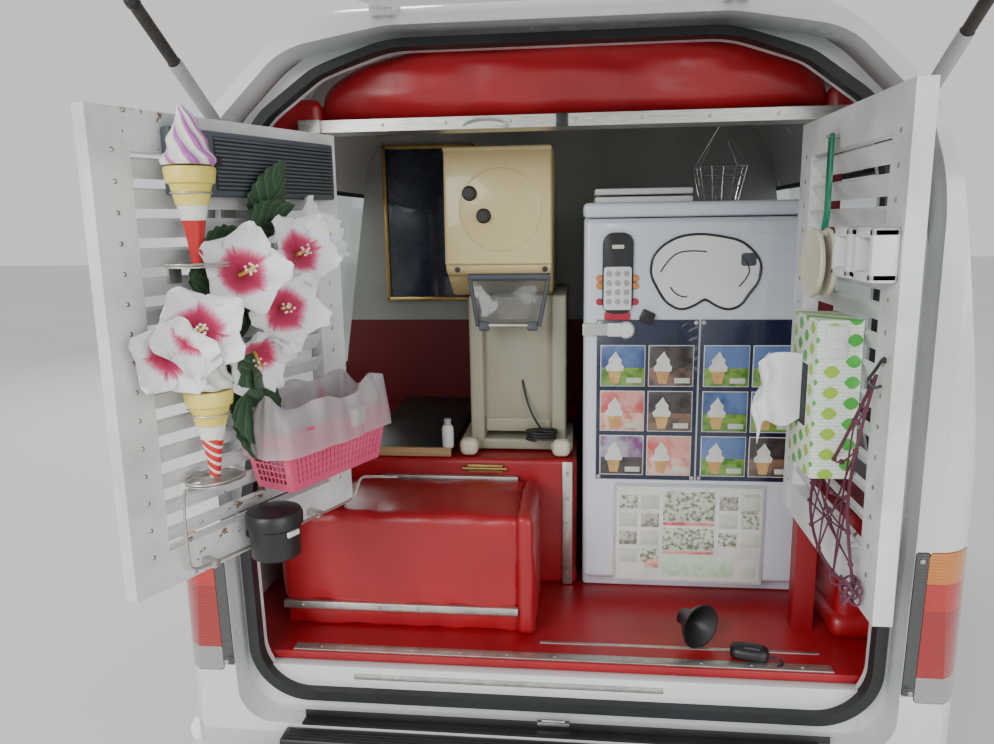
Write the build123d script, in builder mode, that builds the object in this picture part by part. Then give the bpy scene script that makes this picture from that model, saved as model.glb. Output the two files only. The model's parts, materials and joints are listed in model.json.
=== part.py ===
from build123d import *
from math import atan2, cos, degrees, radians, sin
import os

os.makedirs("parts", exist_ok=True)

# High-roof kei van with a soft-serve kiosk behind its raised tailgate.
# X runs to the right seen from behind, Y runs forward, Z is up from the ground, in millimetres.
# "Ahead" is always the distance forward of the tail-lamp plane.

# Body shell
half_width = 697.5
roof_crown = 1925
sill_height = 300
front_reach = 3250
wall = 35
fit = 0.3
seam = 1.5
panel_gap = 5
corner_trim = 0.3

# Tailgate, its recess and the opening behind it
hinge_ahead = 175
hinge_height = 1875
gate_bottom = 590
gate_thickness = 26
gate_bulge = 14
gate_skin = 8
gate_inner_step = 14
gate_open_angle = 88
flange_depth = 56
flange_thickness = 12
recess_wall = 14
seal_width = 20
seal_clearance = 5.5
gate_half = [(585, gate_bottom, 60), (585, 1500, 300), (572, 1660, 120), (470, 1800, 110), (300, 1842, 150)]
rim_half = [
    (555, 632, 90),
    (555, 960, 200),
    (515, 1160, 200),
    (510, 1672, 85),
    (415, 1758, 80),
    (300, 1812, 150),
]
gate_window_half = [(470, 1075, 60), (455, 1560, 60)]

gate_hinge_across = 306
hinge_barrel_radius = 9
hinge_rise = 13.5
hinge_ear = 14
strut_side = 556
strut_foot = (76, 1640)
strut_slot = (542, 570)
strut_eye_shut = (27, 1170)
strut_radius = 9
strut_rod_radius = 4
strut_barrel = 330
strut_bore_start = 14
strut_overlap = 30
stud_radius = 5
strut_eye_radius = 7.5

# Body outlines: half sections as (across, up, corner radius), side ones as (ahead, up, corner radius)
section_half = [
    (640, 100, 80),
    (half_width, 430, 300),
    (half_width, 1000, 600),
    (590, 1690, 150),
    (440, 1890, 150),
]
crown_point = (0, roof_crown, 1200)
roof_slope = [(115, 1805), (230, 1905)]
side_profile = [
    (0, 100, 80),
    (0, 620, 400),
    (-gate_bulge, 1000, 600),
    (-gate_bulge, 1565, 150),
    (*roof_slope[0], 160),
    (*roof_slope[1], 200),
    (1400, roof_crown - 5, 900),
    (2250, 1865, 400),
    (2440, 1790, 120),
    (3040, 1060, 110),
    (3150, 930, 110),
    (3195, 650, 110),
    (3190, 100, 80),
]
plan_half = [
    (half_width + corner_trim, -gate_bulge - corner_trim, 80),
    (half_width + corner_trim, 2600, 500),
    (640, 3080, 170),
    (380, 3192, 300),
]

# Side panels, doors and windows
roof_seam = 1695
door_top = 1645
door_sill = 430
nose_outline = [
    (2700, 200, 1),
    (2700, 900, 1),
    (2440, 1600, 1),
    (2365, 1786, 1),
    (2365, 2100, 1),
    (3400, 2100, 1),
    (3400, 200, 1),
]
front_door_outline = [
    (2160, door_sill, 30),
    (2160, door_top, 60),
    (2472, door_top, 60),
    (2943, 1072, 40),
    (2943, door_sill, 60),
]
door_pin = (657, 2945.5)
door_hinge_heights = (560, 960)
knuckle_radius = 7
knuckle_length = 25
knuckle_clearance = 1
sliding_door_outline = [
    (1245, door_sill, 60),
    (1245, door_top, 60),
    (2095, door_top, 60),
    (2095, door_sill, 60),
]
front_window_outline = [(2235, 1085, 40), (2235, 1590, 40), (2435, 1590, 40), (2850, 1085, 40)]
sliding_window_outline = [(1320, 1085, 50), (1320, 1590, 50), (2020, 1590, 50), (2020, 1085, 50)]
quarter_window_outline = [(240, 1085, 50), (240, 1590, 50), (1165, 1590, 50), (1165, 1085, 50)]
windscreen_half = [(600, 1125, 80), (490, 1735, 80)]
glass_depth = 12
glass_thickness = 5

# Wheels, axles and running gear
rear_axle_ahead = 620
wheelbase = 1860
wheel_radius = 271
tyre_width = 145
rim_radius = 152.4
rim_width = 112
rim_lip_radius = 164.4
rim_lip = 3.6
barrel_radius = 147
track_half = 605
arch_radius = 320
kingpin_across = 517
kingpin_radius = 15
axle_tube_radius = 38
spindle_radius = 15
hub_radius = 44
hub_face = 8
hub_length = 22
drum_radius = 95
drum_width = 36

# Underbody
floor_top = 686
floor_thickness = 46
footwell_floor = 430
footwell_ahead = 2805
rail_across = 320
rail_width = 60
rail_height = 100

# Kiosk fit-out behind the tailgate
leaf_left_hinge = -432
leaf_right_hinge = 465
leaf_left_width = 490
leaf_right_width = 478
leaf_thickness = 26
leaf_bottom = 960
leaf_top = 1665
leaf_left_ahead = 195
leaf_right_ahead = 228
leaf_left_open = 113
leaf_right_open = 90
lining_thickness = 4

# The origin is midway between the raised gate's tip and the bumper's nose
gate_swing_back = hinge_ahead * cos(radians(gate_open_angle))
gate_swing_out = (hinge_height - gate_bottom) * sin(radians(gate_open_angle))
gate_reach = gate_swing_back + gate_swing_out - hinge_ahead
tail_y = (gate_reach - front_reach) / 2
front_axle_ahead = rear_axle_ahead + wheelbase
lining_top = floor_top + fit + lining_thickness


def mirrored(half, crown=None):
    """Close a right-hand half outline with its mirror image, over an optional crown point."""
    middle = [crown] if crown else []
    return half + middle + [(-across, up, radius) for across, up, radius in reversed(half)]


def rounded(corners, inset=0.0):
    """Sketch of a closed outline whose corners are rounded, moved in by inset."""
    with BuildSketch() as outline:
        with BuildLine():
            FilletPolyline(*[(a, b) for a, b, r in corners], radius=[r for a, b, r in corners], close=True)
        make_face()
        if inset:
            offset(amount=-inset)
    return outline.sketch


def shifted(corners):
    """Move a side outline from the tail-lamp plane to the origin's frame."""
    return [(tail_y + ahead, up, radius) for ahead, up, radius in corners]


def van_form(inset):
    """Outer form of the body, moved in by inset on every side."""
    plan = [(across, tail_y + ahead, radius) for across, ahead, radius in plan_half]
    with BuildPart() as form:
        with BuildSketch(Plane.XY):
            add(rounded(mirrored(plan), inset))
        extrude(amount=2500)
        with BuildSketch(Plane.XZ.offset(-3000)):
            add(rounded(mirrored(section_half, crown_point), inset))
        extrude(amount=6000, mode=Mode.INTERSECT)
        with BuildSketch(Plane.YZ.offset(-1000)):
            add(rounded(shifted(side_profile), inset))
        extrude(amount=2000, mode=Mode.INTERSECT)
    return form.part


def side_prism(corners, inset=0.0, left=-900, right=900):
    """Block that passes through the van from side to side with a given side outline."""
    with BuildPart() as prism:
        with BuildSketch(Plane.YZ.offset(left)):
            add(rounded(shifted(corners), inset))
        extrude(amount=right - left)
    return prism.part


def tail_prism(half, inset=0.0, start=-60, depth=390):
    """Block that passes into the tail with a given outline seen from behind."""
    with BuildPart() as prism:
        with BuildSketch(Plane.XZ.offset(-(tail_y + start + depth))):
            add(rounded(mirrored(half), inset))
        extrude(amount=depth)
    return prism.part


def tail_band(outer_inset, inner_inset, half, inset=0.0):
    """Skin that follows the tail's side profile between two depths, inside an outline seen from behind."""
    with BuildPart() as band:
        with BuildSketch(Plane.YZ.offset(-1000)):
            add(rounded(shifted(side_profile), outer_inset))
            add(rounded(shifted(side_profile), inner_inset), mode=Mode.SUBTRACT)
        extrude(amount=2000)
        add(tail_prism(half, inset), mode=Mode.INTERSECT)
    return band.part


def block(x_span, ahead_span, z_span):
    """Plain box between two limits on each axis."""
    with BuildPart() as box:
        with Locations((sum(x_span) / 2, tail_y + sum(ahead_span) / 2, sum(z_span) / 2)):
            Box(x_span[1] - x_span[0], ahead_span[1] - ahead_span[0], z_span[1] - z_span[0])
    return box.part


def cylinder_between(start, end, radius):
    """Round bar from one point to another."""
    with BuildPart() as bar:
        with BuildSketch(Plane(origin=start, z_dir=Vector(*end) - Vector(*start))):
            Circle(radius)
        extrude(amount=(Vector(*end) - Vector(*start)).length)
    return bar.part


def skin_piece(outer, inner, prism):
    """Piece of the skin between two nested forms, inside a prism."""
    with BuildPart() as piece:
        add(outer)
        add(inner, mode=Mode.SUBTRACT)
        add(prism, mode=Mode.INTERSECT)
    return piece.part


def save(part, name):
    part.label = name
    export_step(part, "parts/" + name + ".step")


# Nested forms that the panels are cut from
outer_form = van_form(0)
inner_form = van_form(wall)
room_form = van_form(wall + fit)
lining_form = van_form(flange_depth + flange_thickness + fit)
glass_outer_form = van_form(glass_depth)
glass_inner_form = van_form(glass_depth + glass_thickness)

below_sill = block((-900, 900), (-200, 3500), (0, sill_height))
wheel_arches = []
for axle_ahead in (rear_axle_ahead, front_axle_ahead):
    with BuildPart() as arch:
        with BuildSketch(Plane.YZ.offset(-900)):
            with Locations((tail_y + axle_ahead, wheel_radius)):
                Circle(arch_radius)
        extrude(amount=1800)
    wheel_arches.append(arch.part)

# Tail lamps sit in the rear corners, beside the gate
lamp_right = [(612.5, 690, 8), (686, 690, 8), (686, 965, 8), (612.5, 965, 8)]
lamp_trim_right = [(592, 702, 4), (612, 702, 4), (612, 965, 4), (592, 965, 4)]


def corner_prism(corners, side, inset=0.0, start=-60, depth=110):
    """Block that passes into one rear corner, side being 1 on the right and -1 on the left."""
    with BuildPart() as prism:
        with BuildSketch(Plane.XZ.offset(-(tail_y + start + depth))):
            add(rounded([(side * across, up, radius) for across, up, radius in corners], inset))
        extrude(amount=depth)
    return prism.part


# Body shell with every aperture cut
with BuildPart() as shell:
    add(outer_form)
    add(inner_form, mode=Mode.SUBTRACT)
    add(below_sill, mode=Mode.SUBTRACT)
    add(tail_prism(gate_half, inset=-panel_gap), mode=Mode.SUBTRACT)
    for arch_solid in wheel_arches:
        add(arch_solid, mode=Mode.SUBTRACT)
    for door_outline in (front_door_outline, sliding_door_outline):
        add(side_prism(door_outline, inset=-panel_gap), mode=Mode.SUBTRACT)
    add(side_prism(quarter_window_outline), mode=Mode.SUBTRACT)
    add(tail_prism(windscreen_half, start=2300, depth=1200), mode=Mode.SUBTRACT)
    for side in (-1, 1):
        add(corner_prism(lamp_right, side, inset=-seam), mode=Mode.SUBTRACT)
        add(corner_prism(lamp_trim_right, side, inset=-seam), mode=Mode.SUBTRACT)


def door_knuckle(side, height, upper, growth=0.0):
    """Half of a door hinge's barrel: the upper half is the door's, the lower one the pillar's."""
    low = height + fit / 2 if upper else height - knuckle_length
    high = height + knuckle_length if upper else height - fit / 2
    across, ahead = door_pin
    pin_low = (side * across, tail_y + ahead, low - growth)
    pin_high = (side * across, tail_y + ahead, high + growth)
    return cylinder_between(pin_low, pin_high, knuckle_radius + growth)


nose_region = side_prism(nose_outline)
nose_clearance = side_prism(nose_outline, inset=-fit)
above_seam = block((-900, 900), (-200, 3500), (roof_seam + fit, 2200))
below_seam = block((-900, 900), (-200, 3500), (0, roof_seam))

# Tailgate hinges, drawn along and square to the roof's sloping edge from the hinge axis
(slope_start_ahead, slope_start_up), (slope_end_ahead, slope_end_up) = roof_slope
edge_slope = degrees(atan2(slope_end_up - slope_start_up, slope_end_ahead - slope_start_ahead))
roof_ear = [
    (58, -hinge_rise - 12, 3),
    (6, -hinge_rise - 10, 3),
    (0, hinge_barrel_radius, 4),
    (22, 6, 8),
    (62, -hinge_rise - 2, 4),
]
gate_arm = [
    (-76, -hinge_rise - 10, 3),
    (-78, -hinge_rise + 6, 3),
    (0, hinge_barrel_radius, 4),
    (0, -6, 3),
    (-34, -8, 3),
    (-40, -hinge_rise - 10, 3),
]


def hinge_plate(across, width, corners):
    """Plate and barrel of a gate hinge, from an outline as (along the slope, off it, corner radius)."""
    hinge_plane = Plane(
        origin=(across - width / 2, tail_y + hinge_ahead, hinge_height),
        x_dir=(0, cos(radians(edge_slope)), sin(radians(edge_slope))),
        z_dir=(1, 0, 0),
    )
    with BuildPart() as plate:
        with BuildSketch(hinge_plane):
            add(rounded(corners))
            Circle(hinge_barrel_radius)
        extrude(amount=width)
    return plate.part


# Roof with the ears of the tailgate's hinges
with BuildPart() as roof_panel:
    add(shell.part)
    add(above_seam, mode=Mode.INTERSECT)
    add(nose_clearance, mode=Mode.SUBTRACT)
    for side in (-1, 1):
        for ear in (-1, 1):
            ear_across = side * gate_hinge_across + ear * (hinge_ear + fit)
            add(hinge_plate(ear_across, hinge_ear, roof_ear))
save(roof_panel.part, "roof_panel")

# Side panels with their rear corners, window frames and sills, and the ball studs of the gas struts
panel_split = 440
with BuildPart() as side_panels:
    add(shell.part)
    add(below_seam, mode=Mode.INTERSECT)
    add(nose_clearance, mode=Mode.SUBTRACT)
    add(block((-panel_split, panel_split), (-200, 3500), (0, 2200)), mode=Mode.SUBTRACT)
    for side in (-1, 1):
        stud_ahead, stud_up = strut_foot
        stud_start = (side * (strut_side + strut_radius + fit), tail_y + stud_ahead, stud_up)
        stud_end = (side * (strut_side + 40), tail_y + stud_ahead, stud_up)
        add(cylinder_between(stud_start, stud_end, stud_radius))
save(side_panels.part, "side_panels")

# Nose with the windscreen pillars, lamp pockets and air slots
headlamp_half = [(395, 640, 30), (615, 640, 30), (615, 800, 30), (395, 800, 30)]
slot_heights = (690, 722, 754)
slot_size = (560, 16)


def nose_prism(corners, side, inset=0.0, start=2950, depth=350):
    return corner_prism(corners, side, inset, start, depth)


with BuildPart() as nose_panel:
    add(shell.part)
    add(nose_region, mode=Mode.INTERSECT)
    for side in (-1, 1):
        add(nose_prism(headlamp_half, side, inset=-seam), mode=Mode.SUBTRACT)
    with BuildSketch(Plane.XZ.offset(-(tail_y + 3300))):
        for slot_height in slot_heights:
            with Locations((0, slot_height)):
                SlotOverall(*slot_size)
    extrude(amount=300, mode=Mode.SUBTRACT)
    for side in (-1, 1):
        for height in door_hinge_heights:
            add(door_knuckle(side, height, True, knuckle_clearance), mode=Mode.SUBTRACT)
            add(door_knuckle(side, height, False))
save(nose_panel.part, "nose_panel")

# Headlamps follow the nose
lamp_outer_form = van_form(2)
lamp_inner_form = van_form(40)
with BuildPart() as headlamps:
    for side in (-1, 1):
        add(skin_piece(lamp_outer_form, lamp_inner_form, nose_prism(headlamp_half, side, inset=fit)))
save(headlamps.part, "headlamps")

# Tail lamps and their dark trims
with BuildPart() as tail_lamps:
    for side in (-1, 1):
        for corners in (lamp_right, lamp_trim_right):
            add(skin_piece(outer_form, inner_form, corner_prism(corners, side, inset=0.2)))
save(tail_lamps.part, "tail_lamps")

# Tail frame: the recess walls that the gate drops into and the flange round the opening
recess_rim = -panel_gap - recess_wall
slot_ahead = (30, 85)
slot_up = (1140, strut_foot[1] + 20)
flange_back = flange_depth + flange_thickness
with BuildPart() as tail_frame:
    add(tail_band(wall - 5, flange_back, gate_half, recess_rim))
    add(tail_band(0, flange_depth, gate_half, -panel_gap), mode=Mode.SUBTRACT)
    add(tail_prism(rim_half), mode=Mode.SUBTRACT)
    add(room_form, mode=Mode.INTERSECT)
    for side in (-1, 1):
        # Slot that the gas strut lies in when the gate is shut
        slot_span = sorted(side * across for across in strut_slot)
        add(block(slot_span, slot_ahead, slot_up), mode=Mode.SUBTRACT)
save(tail_frame.part, "tail_frame")

# Lower tail panel between the rear corners, under the gate
with BuildPart() as tail_panel:
    add(shell.part)
    add(block((-panel_split, panel_split), (-200, 60), (0, gate_bottom)), mode=Mode.INTERSECT)
save(tail_panel.part, "tail_panel")

# Rubber seal on the flange
with BuildPart() as tail_seal:
    add(tail_band(gate_thickness + seal_clearance, flange_depth - fit, rim_half, -seal_width))
    add(tail_prism(rim_half), mode=Mode.SUBTRACT)
save(tail_seal.part, "tail_seal")


def pane(prism):
    """Window glass cut from the form between two depths."""
    return skin_piece(glass_outer_form, glass_inner_form, prism)


# Fixed glass
save(pane(tail_prism(windscreen_half, inset=fit, start=2300, depth=1200)), "windscreen")
with BuildPart() as side_windows:
    for side in (-1, 1):
        half_span = (-900, 0) if side < 0 else (0, 900)
        for outline in (quarter_window_outline, sliding_window_outline):
            add(pane(side_prism(outline, fit, *half_span)))
save(side_windows.part, "side_windows")

# Sliding doors: the whole wall within their outline, with the window cut
with BuildPart() as sliding_doors:
    add(skin_piece(outer_form, inner_form, side_prism(sliding_door_outline)))
    add(side_prism(sliding_window_outline), mode=Mode.SUBTRACT)
save(sliding_doors.part, "sliding_doors")

# Front doors with their mirrors and the upper halves of their hinges
mirror_arm = ((640, 760), (2880, 2910), (1033, 1057))
mirror_housing = ((720, 840), (2860, 2920), (1025, 1195))
for side, side_name in ((-1, "left"), (1, "right")):
    half_span = (-900, 0) if side < 0 else (0, 900)
    with BuildPart() as front_door:
        add(skin_piece(outer_form, inner_form, side_prism(front_door_outline, 0, *half_span)))
        add(side_prism(front_window_outline), mode=Mode.SUBTRACT)
        add(wheel_arches[1], mode=Mode.SUBTRACT)
        for across_span, ahead_span, up_span in (mirror_arm, mirror_housing):
            add(block(sorted(side * across for across in across_span), ahead_span, up_span))
        for height in door_hinge_heights:
            add(door_knuckle(side, height, False, knuckle_clearance), mode=Mode.SUBTRACT)
            add(door_knuckle(side, height, True))
    save(front_door.part, "front_door_" + side_name)
    save(pane(side_prism(front_window_outline, fit, *half_span)), "door_glass_" + side_name)

# Tailgate, modelled shut and then swung up about its hinge
gate_hinge = Axis((0, tail_y + hinge_ahead, hinge_height), (1, 0, 0))
gate_glass_depth = 6
with BuildPart() as gate_shut:
    add(tail_band(0, gate_skin, gate_half))
    add(tail_band(gate_skin / 2, gate_thickness, gate_half, gate_inner_step))
    add(outer_form, mode=Mode.INTERSECT)
    add(tail_prism(gate_window_half), mode=Mode.SUBTRACT)
    for side in (-1, 1):
        # Hinge arm between the roof's ears, and the strut's ball stud on its bracket
        add(hinge_plate(side * gate_hinge_across, hinge_ear, gate_arm))
        bracket_span = sorted(side * (strut_side + offset) for offset in (12, 24))
        ball_ahead, ball_up = strut_eye_shut
        add(block(bracket_span, (gate_skin / 2 - gate_bulge, ball_ahead + 7), (ball_up - 14, ball_up + 14)))
        stud_start = (side * (strut_side + strut_eye_radius + fit), tail_y + ball_ahead, ball_up)
        stud_end = (side * (strut_side + 14), tail_y + ball_ahead, ball_up)
        add(cylinder_between(stud_start, stud_end, stud_radius - 1))
with BuildPart() as gate_glass_shut:
    add(tail_band(gate_glass_depth, gate_glass_depth + glass_thickness, gate_window_half, fit))
tailgate = gate_shut.part.rotate(gate_hinge, -gate_open_angle)
save(tailgate, "tailgate")
save(gate_glass_shut.part.rotate(gate_hinge, -gate_open_angle), "tailgate_glass")

# Bumpers
front_bumper_half = [(690, 2850, 2), (690, 2960, 150), (640, 3130, 110), (400, front_reach, 150)]
rear_bumper_half = [(696, 30, 2), (696, -45, 70)]
bumper_rows = (
    ("front_bumper", front_bumper_half, (315, 530)),
    ("rear_bumper", rear_bumper_half, (395, 565)),
)
bumper_wing_end = 2990
bumper_wing_top = door_sill - panel_gap - 1
plate_screw_spacing = 210
plate_screw_height = 430
plate_screw_radius = 3.5
plate_screw_depth = 20
grown_form = van_form(-fit)
for bumper_name, half, heights in bumper_rows:
    plan = [(across, tail_y + ahead, radius) for across, ahead, radius in half]
    with BuildPart() as bumper:
        with BuildSketch(Plane.XY.offset(heights[0])):
            add(rounded(mirrored(plan)))
        extrude(amount=heights[1] - heights[0])
        add(grown_form, mode=Mode.SUBTRACT)
        if bumper_name == "front_bumper":
            # Its wings stay below the doors, which swing out over them
            add(block((-900, 900), (2800, bumper_wing_end), (bumper_wing_top, 600)), mode=Mode.SUBTRACT)
            for side in (-1, 1):
                screw_across = side * plate_screw_spacing / 2
                screw_mouth = (screw_across, tail_y + front_reach, plate_screw_height)
                screw_floor = (screw_across, tail_y + front_reach - plate_screw_depth, plate_screw_height)
                add(cylinder_between(screw_mouth, screw_floor, plate_screw_radius), mode=Mode.SUBTRACT)
    save(bumper.part, bumper_name)

# Floor: one pressing from the tail to the footwell
floor_start = tail_y + 75
floor_step = tail_y + footwell_ahead
footwell_end = tail_y + 3300
footwell_thickness = 30
with BuildPart() as floor_pan:
    with BuildSketch(Plane.YZ.offset(-800)):
        with BuildLine():
            Polyline(
                (floor_start, floor_top - floor_thickness),
                (floor_start, floor_top),
                (floor_step + footwell_thickness, floor_top),
                (floor_step + footwell_thickness, footwell_floor),
                (footwell_end, footwell_floor),
                (footwell_end, footwell_floor - footwell_thickness),
                (floor_step, footwell_floor - footwell_thickness),
                (floor_step, floor_top - floor_thickness),
                close=True,
            )
        make_face()
    extrude(amount=1600)
    add(room_form, mode=Mode.INTERSECT)
save(floor_pan.part, "floor_pan")

# Red vinyl floor lining
with BuildPart() as floor_lining:
    add(block((-700, 700), (75, 955), (floor_top + fit, lining_top)))
    add(room_form, mode=Mode.INTERSECT)
save(floor_lining.part, "floor_lining")

# Chassis frame: two rails, crossmembers and spring hangers
rail_top = floor_top - floor_thickness - fit
rail_bottom = rail_top - rail_height
crossmember_stations = (150, 420, 1050, 1450, 2020, 2330, 2700)
crossmember_height = 60
spring_across = 420
spring_half_length = 500
spring_eye_height = 430
spring_width = 56
spring_pack = 22
hanger_bottom = spring_eye_height + 18 + fit
eye_across = 380
eye_ahead = 1250
eye_height = 565
eye_plate = 12
eye_radius = 16
with BuildPart() as chassis_frame:
    for side in (-1, 1):
        rail_span = (side * rail_across - rail_width / 2, side * rail_across + rail_width / 2)
        add(block(rail_span, (100, 2790), (rail_bottom, rail_top)))
        for hanger_ahead in (rear_axle_ahead - spring_half_length, rear_axle_ahead + spring_half_length):
            hanger_span = sorted((side * rail_across, side * (spring_across + 30)))
            add(block(hanger_span, (hanger_ahead - 22, hanger_ahead + 22), (hanger_bottom, rail_top)))
    for station in crossmember_stations:
        station_span = (station - 25, station + 25)
        add(block((-rail_across, rail_across), station_span, (rail_top - crossmember_height, rail_top)))
    for side in (-1, 1):
        # Tie-down eye in a plate on the outer side of each rail
        eye_span = sorted((side * rail_across, side * (eye_across + eye_radius + eye_plate)))
        eye_plate_span = (eye_height - eye_plate / 2, eye_height + eye_plate / 2)
        add(block(eye_span, (eye_ahead - 35, eye_ahead + 35), eye_plate_span))
        eye_start = (side * eye_across, tail_y + eye_ahead, eye_height - eye_plate)
        eye_end = (side * eye_across, tail_y + eye_ahead, eye_height + eye_plate)
        add(cylinder_between(eye_start, eye_end, eye_radius), mode=Mode.SUBTRACT)
save(chassis_frame.part, "chassis_frame")


def hub(side, axle_ahead):
    """Brake drum, hub and spindle that carry one wheel."""
    with BuildPart() as hub_solid:
        for start, end, radius in (
            (kingpin_across + 5, kingpin_across + 5 + drum_width, drum_radius),
            (kingpin_across + 5, track_half + hub_face - fit, hub_radius),
            (kingpin_across, track_half + hub_face + hub_length - 1, spindle_radius),
        ):
            start_point = (side * start, tail_y + axle_ahead, wheel_radius)
            end_point = (side * end, tail_y + axle_ahead, wheel_radius)
            add(cylinder_between(start_point, end_point, radius))
    return hub_solid.part


# Rear axle beam, final drive, brake drums and leaf springs
final_drive_radius = 105
with BuildPart() as rear_axle:
    with Locations((0, tail_y + rear_axle_ahead, wheel_radius)):
        Cylinder(axle_tube_radius, 2 * kingpin_across, rotation=(0, 90, 0))
        Cylinder(final_drive_radius, 150, rotation=(0, 90, 0))
    for side in (-1, 1):
        add(hub(side, rear_axle_ahead))
        with BuildSketch(Plane.YZ.offset(side * spring_across - spring_width / 2)):
            with BuildLine():
                under = ThreePointArc(
                    (tail_y + rear_axle_ahead - spring_half_length, spring_eye_height - spring_pack),
                    (tail_y + rear_axle_ahead, wheel_radius + axle_tube_radius - spring_pack / 2),
                    (tail_y + rear_axle_ahead + spring_half_length, spring_eye_height - spring_pack),
                )
                over = ThreePointArc(
                    (tail_y + rear_axle_ahead + spring_half_length, spring_eye_height),
                    (tail_y + rear_axle_ahead, wheel_radius + axle_tube_radius + spring_pack / 2),
                    (tail_y + rear_axle_ahead - spring_half_length, spring_eye_height),
                )
                Line(under @ 1, over @ 0)
                Line(over @ 1, under @ 0)
            make_face()
            for end in (-1, 1):
                with Locations((tail_y + rear_axle_ahead + end * spring_half_length, spring_eye_height)):
                    Circle(18)
        extrude(amount=spring_width)
save(rear_axle.part, "rear_axle")

# Front suspension: crossmember, lower arms and struts
damper_across = 497
damper_radius = 20
arm_bottom = 146
arm_top = 164
kingpin_top = 370
with BuildPart() as front_suspension:
    add(block((-300, 300), (front_axle_ahead - 40, front_axle_ahead + 40), (arm_bottom, 230)))
    for side in (-1, 1):
        tower_span = sorted((side * 270, side * 330))
        add(block(tower_span, (front_axle_ahead - 30, front_axle_ahead + 30), (200, rail_bottom - fit)))
        arm_span = sorted((side * 290, side * (kingpin_across + kingpin_radius)))
        add(block(arm_span, (front_axle_ahead - 18, front_axle_ahead + 18), (arm_bottom, arm_top)))
        damper_low = (side * damper_across, tail_y + front_axle_ahead, kingpin_top + fit)
        damper_high = (side * damper_across, tail_y + front_axle_ahead, rail_top)
        add(cylinder_between(damper_low, damper_high, damper_radius))
save(front_suspension.part, "front_suspension")

# Knuckles with their drums, hubs and spindles
for side, side_name in ((-1, "left"), (1, "right")):
    with BuildPart() as knuckle:
        kingpin_low = (side * kingpin_across, tail_y + front_axle_ahead, arm_top + fit)
        kingpin_high = (side * kingpin_across, tail_y + front_axle_ahead, kingpin_top)
        add(cylinder_between(kingpin_low, kingpin_high, kingpin_radius))
        add(hub(side, front_axle_ahead))
    save(knuckle.part, "knuckle_" + side_name)

# Wheels
half_tyre = tyre_width / 2
half_rim = rim_width / 2
bead = half_rim - rim_lip - fit
vent_circle = 86
vent_count = 8
vent_size = (36, 20)
for axle_name, axle_ahead in (("rear", rear_axle_ahead), ("front", front_axle_ahead)):
    for side, side_name in ((-1, "left"), (1, "right")):
        wheel_middle = (side * track_half, tail_y + axle_ahead, wheel_radius)
        wheel_plane = Plane(origin=wheel_middle, x_dir=(0, 1, 0), z_dir=(side, 0, 0))
        with BuildPart() as tyre:
            with BuildSketch(Plane.XZ):
                with BuildLine():
                    FilletPolyline(
                        (rim_radius, -bead),
                        (rim_lip_radius + 4, -bead),
                        (rim_radius + 45, -half_tyre),
                        (wheel_radius - 28, -half_tyre + 2),
                        (wheel_radius, -half_tyre + 18),
                        (wheel_radius, half_tyre - 18),
                        (wheel_radius - 28, half_tyre - 2),
                        (rim_radius + 45, half_tyre),
                        (rim_lip_radius + 4, bead),
                        (rim_radius, bead),
                        radius=[2, 6, 20, 15, 8, 8, 15, 20, 6, 2],
                        close=True,
                    )
                make_face()
            revolve(axis=Axis.Z)
        tyre_solid = tyre.part.moved(wheel_plane.location)
        save(tyre_solid, "tyre_" + axle_name + "_" + side_name)
        with BuildPart() as rim:
            with BuildSketch(Plane.XZ):
                with BuildLine():
                    Polyline(
                        (spindle_radius + fit, hub_face),
                        (spindle_radius + fit, hub_face + hub_length),
                        (46, hub_face + hub_length),
                        (52, 22),
                        (100, 26),
                        (132, 10),
                        (barrel_radius, 10),
                        (barrel_radius, half_rim),
                        (rim_lip_radius, half_rim),
                        (rim_lip_radius, half_rim - rim_lip),
                        (rim_radius - fit, half_rim - rim_lip),
                        (rim_radius - fit, rim_lip - half_rim),
                        (rim_lip_radius, rim_lip - half_rim),
                        (rim_lip_radius, -half_rim),
                        (barrel_radius, -half_rim),
                        (barrel_radius, 4),
                        (130, 4),
                        (100, 20),
                        (52, 16),
                        (46, hub_face),
                        close=True,
                    )
                make_face()
            revolve(axis=Axis.Z)
            with BuildSketch(Plane.XY.offset(-20)):
                with PolarLocations(vent_circle, vent_count):
                    SlotOverall(*vent_size, rotation=90)
            extrude(amount=80, mode=Mode.SUBTRACT)
        save(rim.part.moved(wheel_plane.location), "rim_" + axle_name + "_" + side_name)

# Engine block, tank and exhaust, hung from the crossmembers
hang_height = rail_top - crossmember_height - fit
save(block((-210, 210), (1990, 2360), (235, hang_height)), "engine")
save(block((-280, 20), (1030, 1470), (330, hang_height)), "fuel_tank")
muffler_radius = 62
muffler_length = 280
pipe_radius = 19
pipe_start = 80
pipe_end = 1980
exhaust_across = 150
with BuildPart() as exhaust:
    with Locations((exhaust_across, tail_y + 300, hang_height - muffler_radius)):
        Cylinder(muffler_radius, muffler_length, rotation=(90, 0, 0))
    with Locations((exhaust_across, tail_y + (pipe_start + pipe_end) / 2, hang_height - muffler_radius - 20)):
        Cylinder(pipe_radius, pipe_end - pipe_start, rotation=(90, 0, 0))
save(exhaust.part, "exhaust")

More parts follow.
